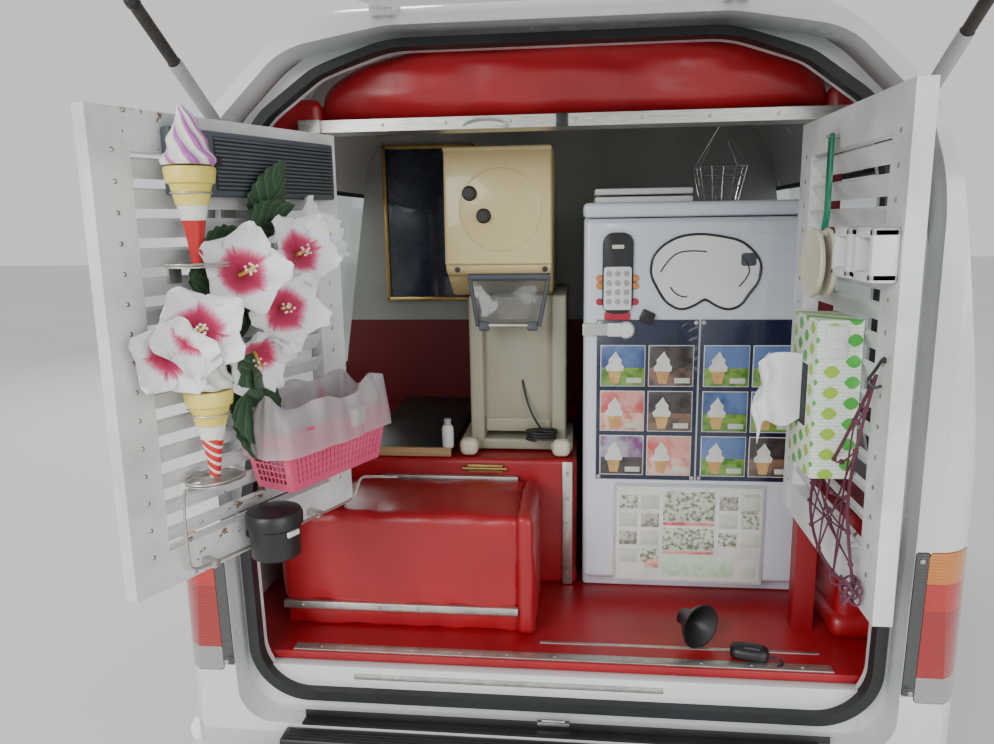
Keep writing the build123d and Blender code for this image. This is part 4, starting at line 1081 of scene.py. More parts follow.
class KIOSK_OT_machine(bpy.types.Operator):
    """Build the soft-serve machine: hood, guard, nozzle, column and feet"""

    bl_idname = "kiosk.machine"
    bl_label = "Soft-serve machine"

    def execute(self, context):
        cream, black, grey, ivory = "cream_enamel", "black_plastic", "grey_plastic", "ivory_plastic"
        parts = []

        # Hood, drawn from the side as (ahead, up) and swept across
        left, right = -0.244, -0.016
        outline = [(0.404, 1.66), (0.404, 1.42)] + arc_points((0.434, 1.42), 0.03, 180, 262, 6)
        outline += [(0.45, 1.375), (0.5, 1.342), (0.79, 1.342), (0.79, 1.66)]
        hood = prism(outline, right - left, edge=0.006)
        swept = shifted(left, TAIL, 0) @ spun(90, "Z") @ Matrix.Scale(-1, 4, (0, 1, 0))
        parts.append((moved(hood, swept), cream))
        top = block(spot(left - 0.001, 0.402, 1.652), spot(right + 0.001, 0.792, 1.661), 0.003)
        parts.append((top, cream))

        # Oval boss, knobs and the two screws at the hood's foot
        disc = turned(
            [(0, 0.004), (0.082, 0.0035), (0.087, 0.0015), (0.088, -0.002), (0, -0.002)], steps=64
        )
        face = facing_tail(-0.125, 0.404, 1.53)
        parts.append((moved(disc, face), cream))
        for across, up in ((-0.1885, 1.565), (-0.159, 1.518)):
            knob = turned(
                [(0, 0.016), (0.0105, 0.016), (0.0125, 0.013), (0.0135, 0.002), (0.016, 0), (0, 0)],
                steps=32,
            )
            parts.append((moved(knob, facing_tail(across, 0.4, up)), black))
        for across in (-0.218, -0.03):
            dot = dome(0.006, 0.004, 0.005, 0.003, 16)
            parts.append((moved(dot, facing_tail(across, 0.404, 1.405)), black))

        # Column with raised rails at its sides and a recessed panel between them
        stand = "machine_grey"
        parts.append((block(spot(-0.178, 0.475, 1.03), spot(-0.01, 0.78, 1.342), 0.004), stand))
        for start, end in ((-0.203, -0.172), (-0.018, 0.014)):
            parts.append((block(spot(start, 0.452, 1.01), spot(end, 0.798, 1.345), 0.006, 3), stand))
        parts.append((block(spot(-0.172, 0.47, 1.028), spot(-0.018, 0.5, 1.062), 0.006, 3), stand))

        # Base: a plate with two forward legs on ivory rollers
        parts.append((block(spot(-0.205, 0.46, 0.988), spot(0.016, 0.798, 1.014), 0.006, 3), stand))
        for start, end in ((-0.226, -0.18), (-0.02, 0.03)):
            parts.append((block(spot(start, 0.418, 0.996), spot(end, 0.6, 1.019), 0.008, 3), stand))
            middle = (start + end) / 2
            shape = block(spot(middle - 0.02, 0.403, 0.9875), spot(middle + 0.02, 0.438, 1.026), 0.0135, 4)
            parts.append((shape, ivory))

        # Nozzle with its star ring
        nozzle = turned(
            [
                (0, 1.344), (0.04, 1.344), (0.042, 1.326), (0.037, 1.31), (0.026, 1.3), (0.02, 1.306),
                (0, 1.31),
            ],
            steps=48,
        )
        parts.append((moved(nozzle, at(-0.108, 0.462, 0)), ivory))

        # Hinged guard: grey frame round a clear flap, tilted outward at its foot
        guard = []
        flap = prism([(-0.083, -0.002), (0.083, -0.002), (0.064, -0.104), (-0.064, -0.104)], 0.003, 0.0008)
        guard.append((flap, "smoke_flap"))
        for side in (-1, 1):
            guard.append((bar((side * 0.086, 0, 0), (side * 0.066, 0, -0.108), 0.0045), grey))
            foot = side * 0.052
            guard.append((block((foot - 0.011, -0.01, -0.117), (foot + 0.011, 0.006, -0.098), 0.003), grey))
        guard += [
            (bar((-0.088, 0, 0), (0.088, 0, 0), 0.008), grey),
            (bar((-0.055, -0.004, -0.106), (0.055, -0.004, -0.106), 0.0045), "bare_aluminium"),
        ]
        tilt = at(-0.108, 0.418, 1.388) @ spun(-16, "X")
        for shape, finish in guard:
            parts.append((moved(shape, tilt), finish))
        add_piece("soft_serve_dressed", parts, "chassis", ["soft_serve_machine"])

        # Lead that hangs from the column and lies in loose turns on the base
        lead_width, turn_points, turn_count = 0.005, 12, 4
        coil_across, coil_ahead, coil_top = -0.04, 0.432, 1.0445
        half_wide, half_deep, turn_gap = 0.034, 0.0195, 1.15 * lead_width
        route = [
            (-0.085, 0.4745, 1.15), (-0.079, 0.464, 1.12), (-0.067, 0.452, 1.085), (-0.05, 0.44, 1.056)
        ]
        for step in range(turn_points * turn_count):
            angle = step * tau / turn_points - radians(80)
            loose = 1 + 0.06 * sin(step * 0.9)
            across = coil_across + half_wide * loose * cos(angle)
            ahead = coil_ahead + half_deep * loose * sin(angle)
            route.append((across, ahead, coil_top - turn_gap * step / turn_points))
        route = [spot(*point) for point in route]
        lead = free_cord("coiled_lead", route, lead_width, black)
        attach(lead, "chassis")
        return {"FINISHED"}


class KIOSK_OT_fridge(bpy.types.Operator):
    """Build the fridge with its boards, magnets, trays and hanging basket"""

    bl_idname = "kiosk.fridge"
    bl_label = "Fridge"

    def execute(self, context):
        white = "fridge_white"
        low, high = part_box("fridge_cabinet")
        door_low, door_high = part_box("fridge_door")
        cabinet = block(low, high - Vector((0, 0, 0.028)), 0.008, 3)
        cap = block(
            Vector((low.x - 0.002, low.y - 0.04, high.z - 0.03)), high + Vector((0.002, 0, 0)), 0.009, 3
        )
        rubber = block(
            Vector((low.x + 0.012, door_high.y - 0.006, door_low.z + 0.01)),
            Vector((high.x - 0.012, low.y + 0.004, door_high.z - 0.01)), 0.002,
        )
        parts = [(cabinet, white), (cap, white), (rubber, "grey_plastic")]
        add_piece("fridge_body", parts, "chassis", ["fridge_cabinet"])

        door = block(door_low, door_high - Vector((0, 0.004, 0)), 0.012, 4)
        grip = block(
            Vector((door_low.x + 0.045, door_low.y - 0.002, door_high.z - 0.034)),
            Vector((door_high.x - 0.045, door_low.y + 0.01, door_high.z - 0.008)), 0.002,
        )
        add_piece(
            "fridge_front", [(door, white), (grip, white)], "chassis", ["fridge_door"]
        )

        front = door_low.y - TAIL
        self.boards(front)
        self.magnets(front)
        self.top_goods(high)
        return {"FINISHED"}

    def boards(self, front):
        """Two dark boards of picture cards and a framed sheet of pictures below them."""
        parts = []
        navy, card_edge = "navy_board", "white_plastic"
        vanilla, cocoa = ("card_sky", "card_field"), ("card_dark", "card_brown")
        berry, violet = ("card_rose", "card_pale"), ("card_violet", "card_dark")
        tones = (
            vanilla, cocoa, vanilla, vanilla, berry, cocoa, vanilla, vanilla, violet, berry, vanilla, cocoa
        )
        first_board, board_pitch, column_pitch, row_pitch = 0.08, 0.2105, 0.0985, 0.0965
        for board in range(2):
            start = first_board + board * board_pitch
            shape = block(spot(start, front - 0.0035, 0.96), spot(start + 0.207, front, 1.303), 0.0015)
            parts.append((shape, navy))
            for row in range(3):
                for column in range(2):
                    corner = at(
                        start + 0.0095 + column * column_pitch, front, 0.972 + (2 - row) * row_pitch
                    )
                    upper, lower = tones[row * 4 + board * 2 + column]
                    card = (
                        # low corner, high corner, finish
                        ((-0.0015, -0.0045, -0.0015), (0.0905, -0.003, 0.0855), card_edge),
                        ((0, -0.0052, 0), (0.089, -0.004, 0.084), upper),
                        ((0.0008, -0.0055, 0.0008), (0.0882, -0.005, 0.038), lower),
                        ((0.052, -0.0059, 0.006), (0.083, -0.0052, 0.017), "card_cream"),
                    )
                    parts += [
                        (moved(block(near, far, 0.0002), corner), finish) for near, far, finish in card
                    ]
                    place = corner @ shifted(0.028, -0.0056, 0.005)
                    parts += [(moved(shape, place), finish) for shape, finish in self.picture_cone()]
            for across, up in ((0.006, 1.297), (0.201, 1.297), (0.006, 0.966), (0.201, 0.966)):
                stud = dome(0.005, 0.004, 0.004, 0.003, 14)
                parts.append((moved(stud, facing_tail(start + across, front - 0.0035, up)), "screw_steel"))
        add_piece("picture_boards", parts, "chassis")

        frame_parts = []
        left, right, bottom, top = 0.12, 0.437, 0.727, 0.951
        shape = block(spot(left, front - 0.004, bottom), spot(right, front, top), 0.0015)
        frame_parts.append((shape, "clear_edge"))
        shape = block(
            spot(left + 0.006, front - 0.0046, bottom + 0.006),
            spot(right - 0.006, front - 0.003, top - 0.006), 0.0004,
        )
        frame_parts.append((shape, "printed_sheet"))
        pictures = [
            # across, up, width, height, finish
            (0.105, 0.142, 0.108, 0.066, "card_moss"), (0.105, 0.132, 0.108, 0.008, "card_rose"),
            (0.105, 0.076, 0.108, 0.05, "card_moss"), (0.105, 0.067, 0.108, 0.007, "card_rose"),
            (0.105, 0.016, 0.15, 0.044, "card_mint"), (0.068, 0.034, 0.028, 0.019, "card_pale"),
            (0.268, 0.16, 0.034, 0.046, "card_drab"), (0.27, 0.016, 0.032, 0.04, "card_cream"),
        ]
        for row in range(4):
            for column, across in enumerate((0.012, 0.058, 0.222, 0.268)):
                if row < 3 or column < 2:
                    tone = ("card_moss", "card_cream", "card_drab", "card_cream")[(row + column) % 4]
                    pictures.append((across, 0.168 - row * 0.041, 0.038, 0.031, tone))
        for step, (across, up, width, height, tone) in enumerate(pictures):
            raised = front - 0.0052 - 0.0001 * (step % 3)
            near = spot(left + across, raised, bottom + up)
            far = spot(left + across + width, front - 0.0042, bottom + up + height)
            frame_parts.append((block(near, far, 0.0003), tone))
        add_piece("framed_sheet", frame_parts, "chassis")

    def picture_cone(self):
        """Flat raised picture of a soft-serve cone, drawn on a card."""
        cup = prism([(-0.008, 0.0), (0.008, 0.0), (0.014, 0.026), (-0.014, 0.026)], -0.0006)
        cream = prism(
            [
                (-0.017, 0.026), (0.017, 0.026), (0.019, 0.035), (0.013, 0.042), (0.014, 0.05),
                (0.008, 0.057), (0.002, 0.068), (-0.006, 0.058), (-0.013, 0.05), (-0.012, 0.042),
                (-0.019, 0.035),
            ],
            -0.001,
        )
        return [(cup, "wafer"), (cream, "whipped_white")]

    def magnets(self, front):
        """Key-pad magnet, cloud-shaped plate and the strap latch."""
        parts = []
        key_pitch, key_rise = 0.0175, 0.019
        pad_place = at(0.121, front, 1.39)
        case = prism(rounded(0.062, 0.165, 0.022, centre=(0, 0.008)), -0.008, 0.002)
        parts.append((moved(case, pad_place), "black_plastic"))
        keys = prism(rounded(0.056, 0.088, 0.006, centre=(0, -0.022)), -0.0105, 0.001)
        parts.append((moved(keys, pad_place), "white_plastic"))
        for row in range(4):
            for column in range(3):
                key = dome(0.006, 0.0025, 0.0052, 0.002, 16)
                middle = shifted((column - 1) * key_pitch, -0.0105, 0.008 - row * key_rise)
                parts.append((moved(key, pad_place, middle, spun(90, "X")), "grey_trim"))
        for across in (-0.036, 0.036):
            for up, finish in ((-0.002, "dial_orange"), (-0.017, "dial_orange"), (-0.05, "dial_red")):
                wheel = dome(0.0075, 0.006, 0.006, 0.005, 18)
                parts.append((moved(wheel, pad_place @ shifted(across, 0, up) @ spun(90, "X")), finish))
        window = prism(rounded(0.024, 0.008, 0.002, centre=(0, 0.062)), -0.0095, 0.0005)
        parts.append((moved(window, pad_place), "ivory_plastic"))
        lower = prism(rounded(0.052, 0.016, 0.003, centre=(0, -0.079)), -0.007, 0.001)
        parts.append((moved(lower, pad_place), "dial_red"))

        # Cloud plate: overlapping lobes cut from one white sheet with a black outline
        cloud_place = at(0.297, front, 1.4)
        lobes = [
            (-0.111, -0.004), (-0.107, 0.031), (-0.086, 0.055), (-0.053, 0.072), (-0.012, 0.076),
            (0.029, 0.07), (0.066, 0.062), (0.092, 0.041), (0.109, 0.016), (0.105, -0.02), (0.086, -0.045),
            (0.072, -0.068), (0.047, -0.078), (0.02, -0.068), (0.0, -0.053), (-0.02, -0.068),
            (-0.049, -0.078), (-0.078, -0.062), (-0.094, -0.037),
        ]
        shape = moved(prism([(0.97 * across, 0.97 * up) for across, up in lobes], -0.003), cloud_place)
        parts.append((shape, "white_plastic"))
        rim = wire([(across, -0.0025, up) for across, up in lobes], 0.0026, closed=True)
        parts.append((moved(rim, cloud_place), "black_plastic"))
        strokes = (
            [(-0.09, 0.0), (-0.074, 0.03), (-0.04, 0.045), (0.0, 0.04)],
            [(0.07, 0.03), (0.086, 0.012), (0.083, -0.012), (0.066, -0.03)],
            [(-0.07, -0.03), (-0.056, -0.052), (-0.036, -0.05)],
        )
        for stroke in strokes:
            shape = moved(wire([(across, -0.0034, up) for across, up in stroke], 0.0014), cloud_place)
            parts.append((shape, "black_plastic"))
        dab = prism(rounded(0.03, 0.026, 0.006, centre=(0.083, 0.024)), -0.0038, 0.0005)
        parts.append((moved(dab, cloud_place), "grey_plastic"))

        # Strap latch across the door's edge, with a black clip above it
        strap = block(spot(0.05, front - 0.007, 1.27), spot(0.115, front, 1.296), 0.003)
        parts.append((strap, "clear_edge"))
        button = turned([(0, 0.012), (0.014, 0.011), (0.0175, 0.007), (0.018, 0), (0, 0)], steps=36)
        parts.append((moved(button, facing_tail(0.14, front, 1.282)), "white_plastic"))
        shape = block(spot(0.1, front - 0.008, 1.268), spot(0.145, front, 1.297), 0.004)
        parts.append((shape, "white_plastic"))
        clip = moved(
            block((-0.014, -0.014, -0.012), (0.014, 0, 0.012), 0.003),
            at(0.182, front, 1.31) @ spun(24, "Y"),
        )
        parts.append((clip, "black_plastic"))
        add_piece("fridge_magnets", parts, "chassis")

    def top_goods(self, high):
        """White trays on the fridge and a small wire basket hung over it."""
        parts = []
        for level in range(2):
            up = high.z + 0.001 + level * 0.017
            tray = block(spot(0.075, 0.44, up), spot(0.28, 0.66, up + 0.013), 0.004)
            parts.append((tray, "white_plastic"))
        add_piece("white_trays", parts, "chassis")

        strands = []
        top, bottom = 1.617, high.z + 0.004
        middle = spot(0.352, 0.56, 0)
        for up, half in ((top, 0.05), (1.598, 0.047), (1.576, 0.042), (bottom + 0.001, 0.036)):
            ring = [(middle.x + half * x, middle.y + half * y, up) for x, y in rounded(2, 2, 0.35, steps=3)]
            strands.append(wire(ring, 0.0013, closed=True))
        for x, y in (
            (-1, -1), (-0.5, -1), (0, -1), (0.5, -1), (1, -1), (-1, 1), (0, 1), (1, 1), (-1, 0), (1, 0)
        ):
            start = (middle.x + 0.036 * x, middle.y + 0.036 * y, bottom)
            end = (middle.x + 0.05 * x, middle.y + 0.05 * y, top)
            strands.append(wire([start, end], 0.001))
            if x in (-1, 1) and y in (-1, 1):
                strands.append(wire([end, (middle.x, middle.y, 1.712)], 0.0009))
        for x in (-0.5, 0, 0.5):
            across = middle.x + 0.036 * x
            strands.append(
                wire([(across, middle.y - 0.036, bottom), (across, middle.y + 0.036, bottom)], 0.001)
            )
        add_piece("wire_basket", [(strand, "rod_chrome") for strand in strands], "chassis")


class KIOSK_OT_wall_goods(bpy.types.Operator):
    """Build what stands on the walls, counter and floor of the kiosk"""

    bl_idname = "kiosk.wall_goods"
    bl_label = "Wall and floor goods"

    def execute(self, context):
        # Dark plain picture in a gilt frame, on the partition
        parts = [(block(spot(-0.5, 0.948, 1.292), spot(-0.248, 0.96, 1.716), 0.002), "navy_board")]
        for left, right, bottom, top in (
            (-0.512, -0.25, 1.286, 1.298), (-0.512, -0.25, 1.71, 1.722), (-0.512, -0.5, 1.286, 1.722),
            (-0.262, -0.25, 1.286, 1.722),
        ):
            parts.append((block(spot(left, 0.943, bottom), spot(right, 0.96, top), 0.003), "brass"))
        add_piece("gilt_picture", parts, "chassis")

        # Shelf of dark board with a wooden edge, beside the machine
        shelf = block(spot(-0.46, 0.41, 0.987), spot(-0.245, 0.94, 1.004), 0.002)
        edge = block(spot(-0.462, 0.402, 0.986), spot(-0.243, 0.412, 1.006), 0.002)
        add_piece("side_shelf", [(shelf, "dark_board"), (edge, "pale_wood")], "chassis")

        # Small bottle with a grey cap beside the machine's foot
        bottle = turned(
            [(0, 0), (0.012, 0), (0.013, 0.003), (0.013, 0.045), (0.009, 0.052), (0, 0.052)], steps=24
        )
        cap = turned([(0, 0.052), (0.008, 0.052), (0.008, 0.066), (0, 0.067)], steps=20)
        add_piece(
            "small_bottle", [(bottle, "white_plastic"), (cap, "grey_trim")], "chassis",
            place=at(-0.252, 0.42, 1.004),
        )

        # Black funnel and black hand unit on the floor
        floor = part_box("floor_lining")[1].z
        bell = turned(
            [
                (0.012, 0.0), (0.014, 0.018), (0.036, 0.044), (0.042, 0.05), (0.0445, 0.05), (0.039, 0.041),
                (0.018, 0.015), (0.016, 0.0), (0.012, 0.0),
            ],
            steps=44,
        )
        tilt = at(0.25, 0.185, floor + 0.0445) @ spun(35, "Z") @ spun(90, "X")
        add_piece("black_funnel", [(bell, "black_plastic")], "chassis", place=tilt)
        body = pad(
            Vector((-0.032, -0.016, 0)), Vector((0.032, 0.016, 0.024)), 0.009, 0.003, 0, firm=("-z",),
            cells=8,
        )
        hood = block((-0.012, -0.012, 0.02), (0.02, 0.012, 0.0265), 0.003)
        tail = wire(
            [
                (0.03, 0, 0.01), (0.045, 0.004, 0.006), (0.058, 0.0, 0.0045), (0.06, -0.014, 0.0035),
                (0.05, -0.02, 0.0035),
            ],
            0.002,
        )
        parts = [(body, "black_plastic"), (hood, "grey_plastic"), (tail, "black_plastic")]
        turn = at(0.365, 0.115, floor) @ spun(-12, "Z")
        add_piece("hand_unit", parts, "chassis", place=turn)
        return {"FINISHED"}


# ---------------------------------------------------------------- fittings on the left louvre leaf


def cloth_grid(columns, rows):
    """Flat unit grid about the origin, with its own UV map."""
    bm = bmesh.new()
    bmesh.ops.create_grid(bm, x_segments=columns, y_segments=rows, size=0.5)
    layer = bm.loops.layers.uv.new("UVMap")
    for face in bm.faces:
        for loop in face.loops:
            loop[layer].uv = (loop.vert.co.x + 0.5, loop.vert.co.y + 0.5)
    return bm


def petal(length, width, curl, lean, turn, ruffle, seed):
    """One cloth petal: a strip of quads that widens, ruffles and curls back, with its own UV map."""
    bm = cloth_grid(9, 7)
    for vert in bm.verts:
        run, side = vert.co.x + 0.5, 2 * vert.co.y
        belly = 0.14 + sin(pi * min(1, run * 0.72 + 0.02)) ** 1.1
        notch = 1 - 1.5 * max(0, run - 0.8) * abs(side)
        half = width / 2 * belly * notch
        rise = curl * run * run * length + 0.12 * width * side * side * run
        rise += ruffle * run * sin(side * 7 + seed) * width
        rise += 0.03 * width * noise.noise(Vector((run * 4, side * 3, seed)))
        reach = length * run * (1 - 0.2 * abs(side) ** 2.4 + 0.012 * run * sin(side * 7 + seed))
        vert.co = Vector(
            (reach * cos(lean) - rise * sin(lean) * 0.2, half * side, reach * sin(lean) + rise)
        )
    return moved(bm, Matrix.Rotation(turn, 4, "Z"))


def blossom(seed, size):
    """Five-petalled hibiscus that looks along +Z."""
    whole = bmesh.new()
    for index in range(5):
        turn = tau * index / 5 + 0.13 * sin(seed * 3 + index)
        length = size * (0.54 + 0.03 * sin(seed + index))
        join(whole, petal(length, size * 0.43, 0.14, 0.38, turn, 0.1, seed + index * 1.7))
    pistil = wire(
        [(0, 0, 0), (0.004, 0, size * 0.16), (0.008, 0.003, size * 0.34)], size * 0.022, sizes=[1, 0.9, 0.7]
    )
    beads = []
    for index in range(9):
        angle = index * 2.4
        up = size * (0.2 + 0.018 * index)
        bead = bmesh.new()
        place = shifted(0.005 + 0.007 * cos(angle), 0.002 + 0.007 * sin(angle), up)
        bmesh.ops.create_icosphere(bead, subdivisions=1, radius=size * 0.018, matrix=place)
        beads.append(bead)
    return whole, pistil, beads


def serrated_leaf(length, width, seed):
    """Cloth leaf with a saw edge, folded along its middle rib, lying along +X."""
    bm = cloth_grid(14, 4)
    for vert in bm.verts:
        run, side = vert.co.x + 0.5, 2 * vert.co.y
        tooth = 0.12 * (round(run * 14) % 2) if abs(side) > 0.9 else 0
        half = width / 2 * (sin(pi * run ** 0.75) ** 0.8 if 0 < run < 1 else 0.0) * (1 + tooth)
        droop = -0.18 * length * run * run + 0.02 * length * sin(run * 9 + seed)
        vert.co = Vector((length * run, half * side, droop + 0.22 * abs(side) * half))
    return bm


def facing(centre, direction, roll=0.0):
    """Place a shape that looks along +Z so that it looks along a direction."""
    turn = Vector(direction).normalized().to_track_quat("Z", "Y").to_matrix().to_4x4()
    return Matrix.Translation(centre) @ turn @ Matrix.Rotation(roll, 4, "Z")


class KIOSK_OT_flowers(bpy.types.Operator):
    """Tie the bunch of cloth flowers and leaves to the left leaf"""

    bl_idname = "kiosk.flowers"
    bl_label = "Flower bunch"

    def execute(self, context):
        rows = (
            # along the leaf, height, off the leaf, size, sideways lean, upward lean
            (0.306, 1.43, 0.105, 0.142, -0.1, 0.25),
            (0.388, 1.352, 0.095, 0.142, 0.05, 0.1),
            (0.418, 1.325, 0.07, 0.125, 0.1, -0.1),
            (0.232, 1.372, 0.112, 0.135, -0.15, 0.0),
            (0.274, 1.305, 0.088, 0.125, -0.2, -0.5),
            (0.186, 1.455, 0.108, 0.135, -0.3, 0.35),
            (0.120, 1.478, 0.078, 0.125, -0.75, 0.5),
        )
        parts = []
        cloth, green = "petal_cloth", "leaf_green"
        for index, (along, up, off, size, sideways, upward) in enumerate(rows):
            flower, pistil, beads = blossom(index * 1.9, size)
            place = facing((along, off - size * 0.12, up), (sideways + 0.55, 1.0, upward), 0.7 * index)
            parts += [
                (moved(flower, place), cloth),
                (moved(pistil, place), "cone_yellow"),
            ]
            parts += [(moved(bead, place), "whipped_white") for bead in beads]
            calyx = turned(
                [(0, -0.026), (0.006, -0.022), (0.011, -0.01), (0.008, -0.004), (0, -0.004)], steps=12
            )
            parts.append((moved(calyx, place), green))
        stems = (
            # along the leaf, height, heading in degrees, length
            (0.225, 1.50, 110, 0.115), (0.265, 1.49, 150, 0.1), (0.345, 1.46, 165, 0.105),
            (0.385, 1.43, 172, 0.1), (0.43, 1.37, 150, 0.07), (0.34, 1.27, 215, 0.11),
            (0.30, 1.245, 250, 0.115), (0.265, 1.235, 280, 0.11), (0.225, 1.25, 300, 0.11),
            (0.205, 1.30, 330, 0.1), (0.16, 1.41, 330, 0.08), (0.36, 1.39, 120, 0.1),
            (0.245, 1.41, 60, 0.1), (0.19, 1.36, 10, 0.09), (0.325, 1.32, 240, 0.1),
        )
        for index, (along, up, heading, length) in enumerate(stems):
            blade = serrated_leaf(length, length * 0.62, index)
            spin = spun(-heading, "Y") @ spun(90 + 14 * sin(index), "X")
            off = 0.062 + 0.01 * sin(index * 2.3)
            parts.append((moved(blade, shifted(0.97 * along + 0.008, off, up) @ spin), green))
        tie = wire(
            [
                (0.30, 0.03, 1.39), (0.29, 0.055, 1.37), (0.285, 0.075, 1.36), (0.29, 0.052, 1.34),
                (0.30, 0.03, 1.33),
            ],
            0.003,
        )
        parts.append((tie, green))
        backing = turned([(0, 0), (0.035, 0.003), (0.05, 0.012), (0.03, 0.02), (0, 0.022)], steps=24)
        parts.append((moved(backing, shifted(0.29, 0.028, 1.37) @ spun(-90, "X")), green))
        bunch = add_piece(
            "hibiscus_bunch", parts, "leaf_left", ["flower_bunch"], left_leaf, sharp=70
        )
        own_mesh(bunch)
        return {"FINISHED"}


def swirl(radius, height, rings=34, around=60):
    """Soft-serve swirl: three tiers with slanting ridges that shrink to a bent tip."""
    bm = bmesh.new()
    layer = bm.loops.layers.uv.new("UVMap")
    levels = []
    for ring in range(rings + 1):
        t = ring / rings
        tier = radius * (1 - t) ** 0.72 * (1 + 0.1 * sin(t * 19 - 0.6) * (1 - t))
        sway = radius * 0.25 * max(0, t - 0.8) * 5
        verts = []
        for step in range(around):
            angle = tau * step / around
            reach = tier * (1 + 0.11 * sin(7 * angle + 13 * t)) + 0.0004
            verts.append(bm.verts.new((sway + reach * cos(angle), reach * sin(angle), height * t)))
        levels.append(verts)
    for ring in range(rings):
        for step in range(around):
            after = (step + 1) % around
            face = bm.faces.new(
                (levels[ring][step], levels[ring][after], levels[ring + 1][after], levels[ring + 1][step])
            )
            corners = ((step, ring), (step + 1, ring), (step + 1, ring + 1), (step, ring + 1))
            for loop, (column, row) in zip(face.loops, corners):
                loop[layer].uv = (column / around, row / rings)
    bm.faces.new(reversed(levels[0]))
    bm.faces.new(levels[-1])
    return bm


class KIOSK_OT_cones(bpy.types.Operator):
    """Build the two display cones on their metal trays"""

    bl_idname = "kiosk.cones"
    bl_label = "Display cones"

    def execute(self, context):
        metal = "bare_aluminium"
        along, off, ring_reach = 0.374, 0.078, 0.0285
        rows = (
            # height of the tray, finish of the swirl, finish of the tip
            (1.450, "swirl_violet", "cone_red"),
            (1.128, "swirl_white", "candy_stripe"),
        )
        parts = []
        for foot, cream, tip in rows:
            place = shifted(along, off, foot)
            point = turned([(0, 0), (0.0075, 0.001), (0.011, 0.03), (0.0165, 0.062), (0, 0.062)], steps=36)
            band = turned([(0, 0.062), (0.0172, 0.062), (0.0215, 0.084), (0, 0.084)], steps=36)
            cup = turned(
                [
                    (0, 0.083), (0.0225, 0.083), (0.029, 0.112), (0.0335, 0.114), (0.036, 0.132),
                    (0.0345, 0.136), (0, 0.136),
                ],
                steps=36
            )
            parts += [
                (moved(point, place), tip),
                (moved(band, place), "whipped_white"),
                (moved(cup, place), "cone_yellow"),
                (moved(swirl(0.035, 0.083), place @ shifted(0, 0, 0.139)), cream),
            ]
            plate = prism(rounded(0.094, 0.07, 0.034, steps=10), 0.0018, 0.0006)
            tray = place @ shifted(0, 0, -0.0025) @ spun(-90, "X")
            parts.append((moved(plate, tray), metal))
            lip = wire(
                [(0.047 * x, 0.035 * y, 0.001) for x, y in rounded(2, 2, 0.9, steps=6)], 0.0016, closed=True
            )
            parts.append((moved(lip, place), metal))
            left, right, ring_up = along - 0.012, along + 0.012, foot + 0.1
            bracket = block((left, LEAF_FACE, foot - 0.004), (right, 0.05, foot - 0.0015), 0.0008)
            web = block(
                (left, LEAF_FACE - 0.001, foot - 0.03), (right, LEAF_FACE + 0.002, foot - 0.002), 0.0008
            )
            ring = wire(circle((along, off, ring_up), ring_reach, 16), 0.0014, closed=True)
            stay = bar((along, LEAF_FACE, ring_up), (along, 0.0495, ring_up), 0.0014)
            parts += [(shape, metal) for shape in (bracket, web, ring, stay)]
        add_piece("cones_on_trays", parts, "leaf_left", ["cone_display"], left_leaf)
        return {"FINISHED"}


def shear_y(rate):
    """Matrix that moves a shape along Y as it goes up."""
    matrix = Matrix.Identity(4)
    matrix[1][2] = rate
    return matrix


def slotted_wall(width_low, width_high, height, thickness, columns, rows):
    """Tapered wall of a basket in X and Z, with rows of slots cut right through."""
    bm = bmesh.new()
    bmesh.ops.create_grid(bm, x_segments=columns, y_segments=rows, size=0.5)
    bmesh.ops.transform(bm, matrix=spun(90, "X"), verts=bm.verts)
    inner = [
        face for face in bm.faces
        if -0.34 < face.calc_center_median().z < 0.3 and abs(face.calc_center_median().x) < 0.44
    ]
    bmesh.ops.inset_individual(bm, faces=inner, thickness=0.016, use_even_offset=True)
    bmesh.ops.delete(bm, geom=inner, context="FACES")
    for vert in bm.verts:
        level = vert.co.z + 0.5
        width = width_low + (width_high - width_low) * level
        vert.co = Vector((vert.co.x * width, 0, level * height))
    bmesh.ops.recalc_face_normals(bm, faces=bm.faces)
    bmesh.ops.solidify(bm, geom=bm.faces[:], thickness=thickness)
    return bm


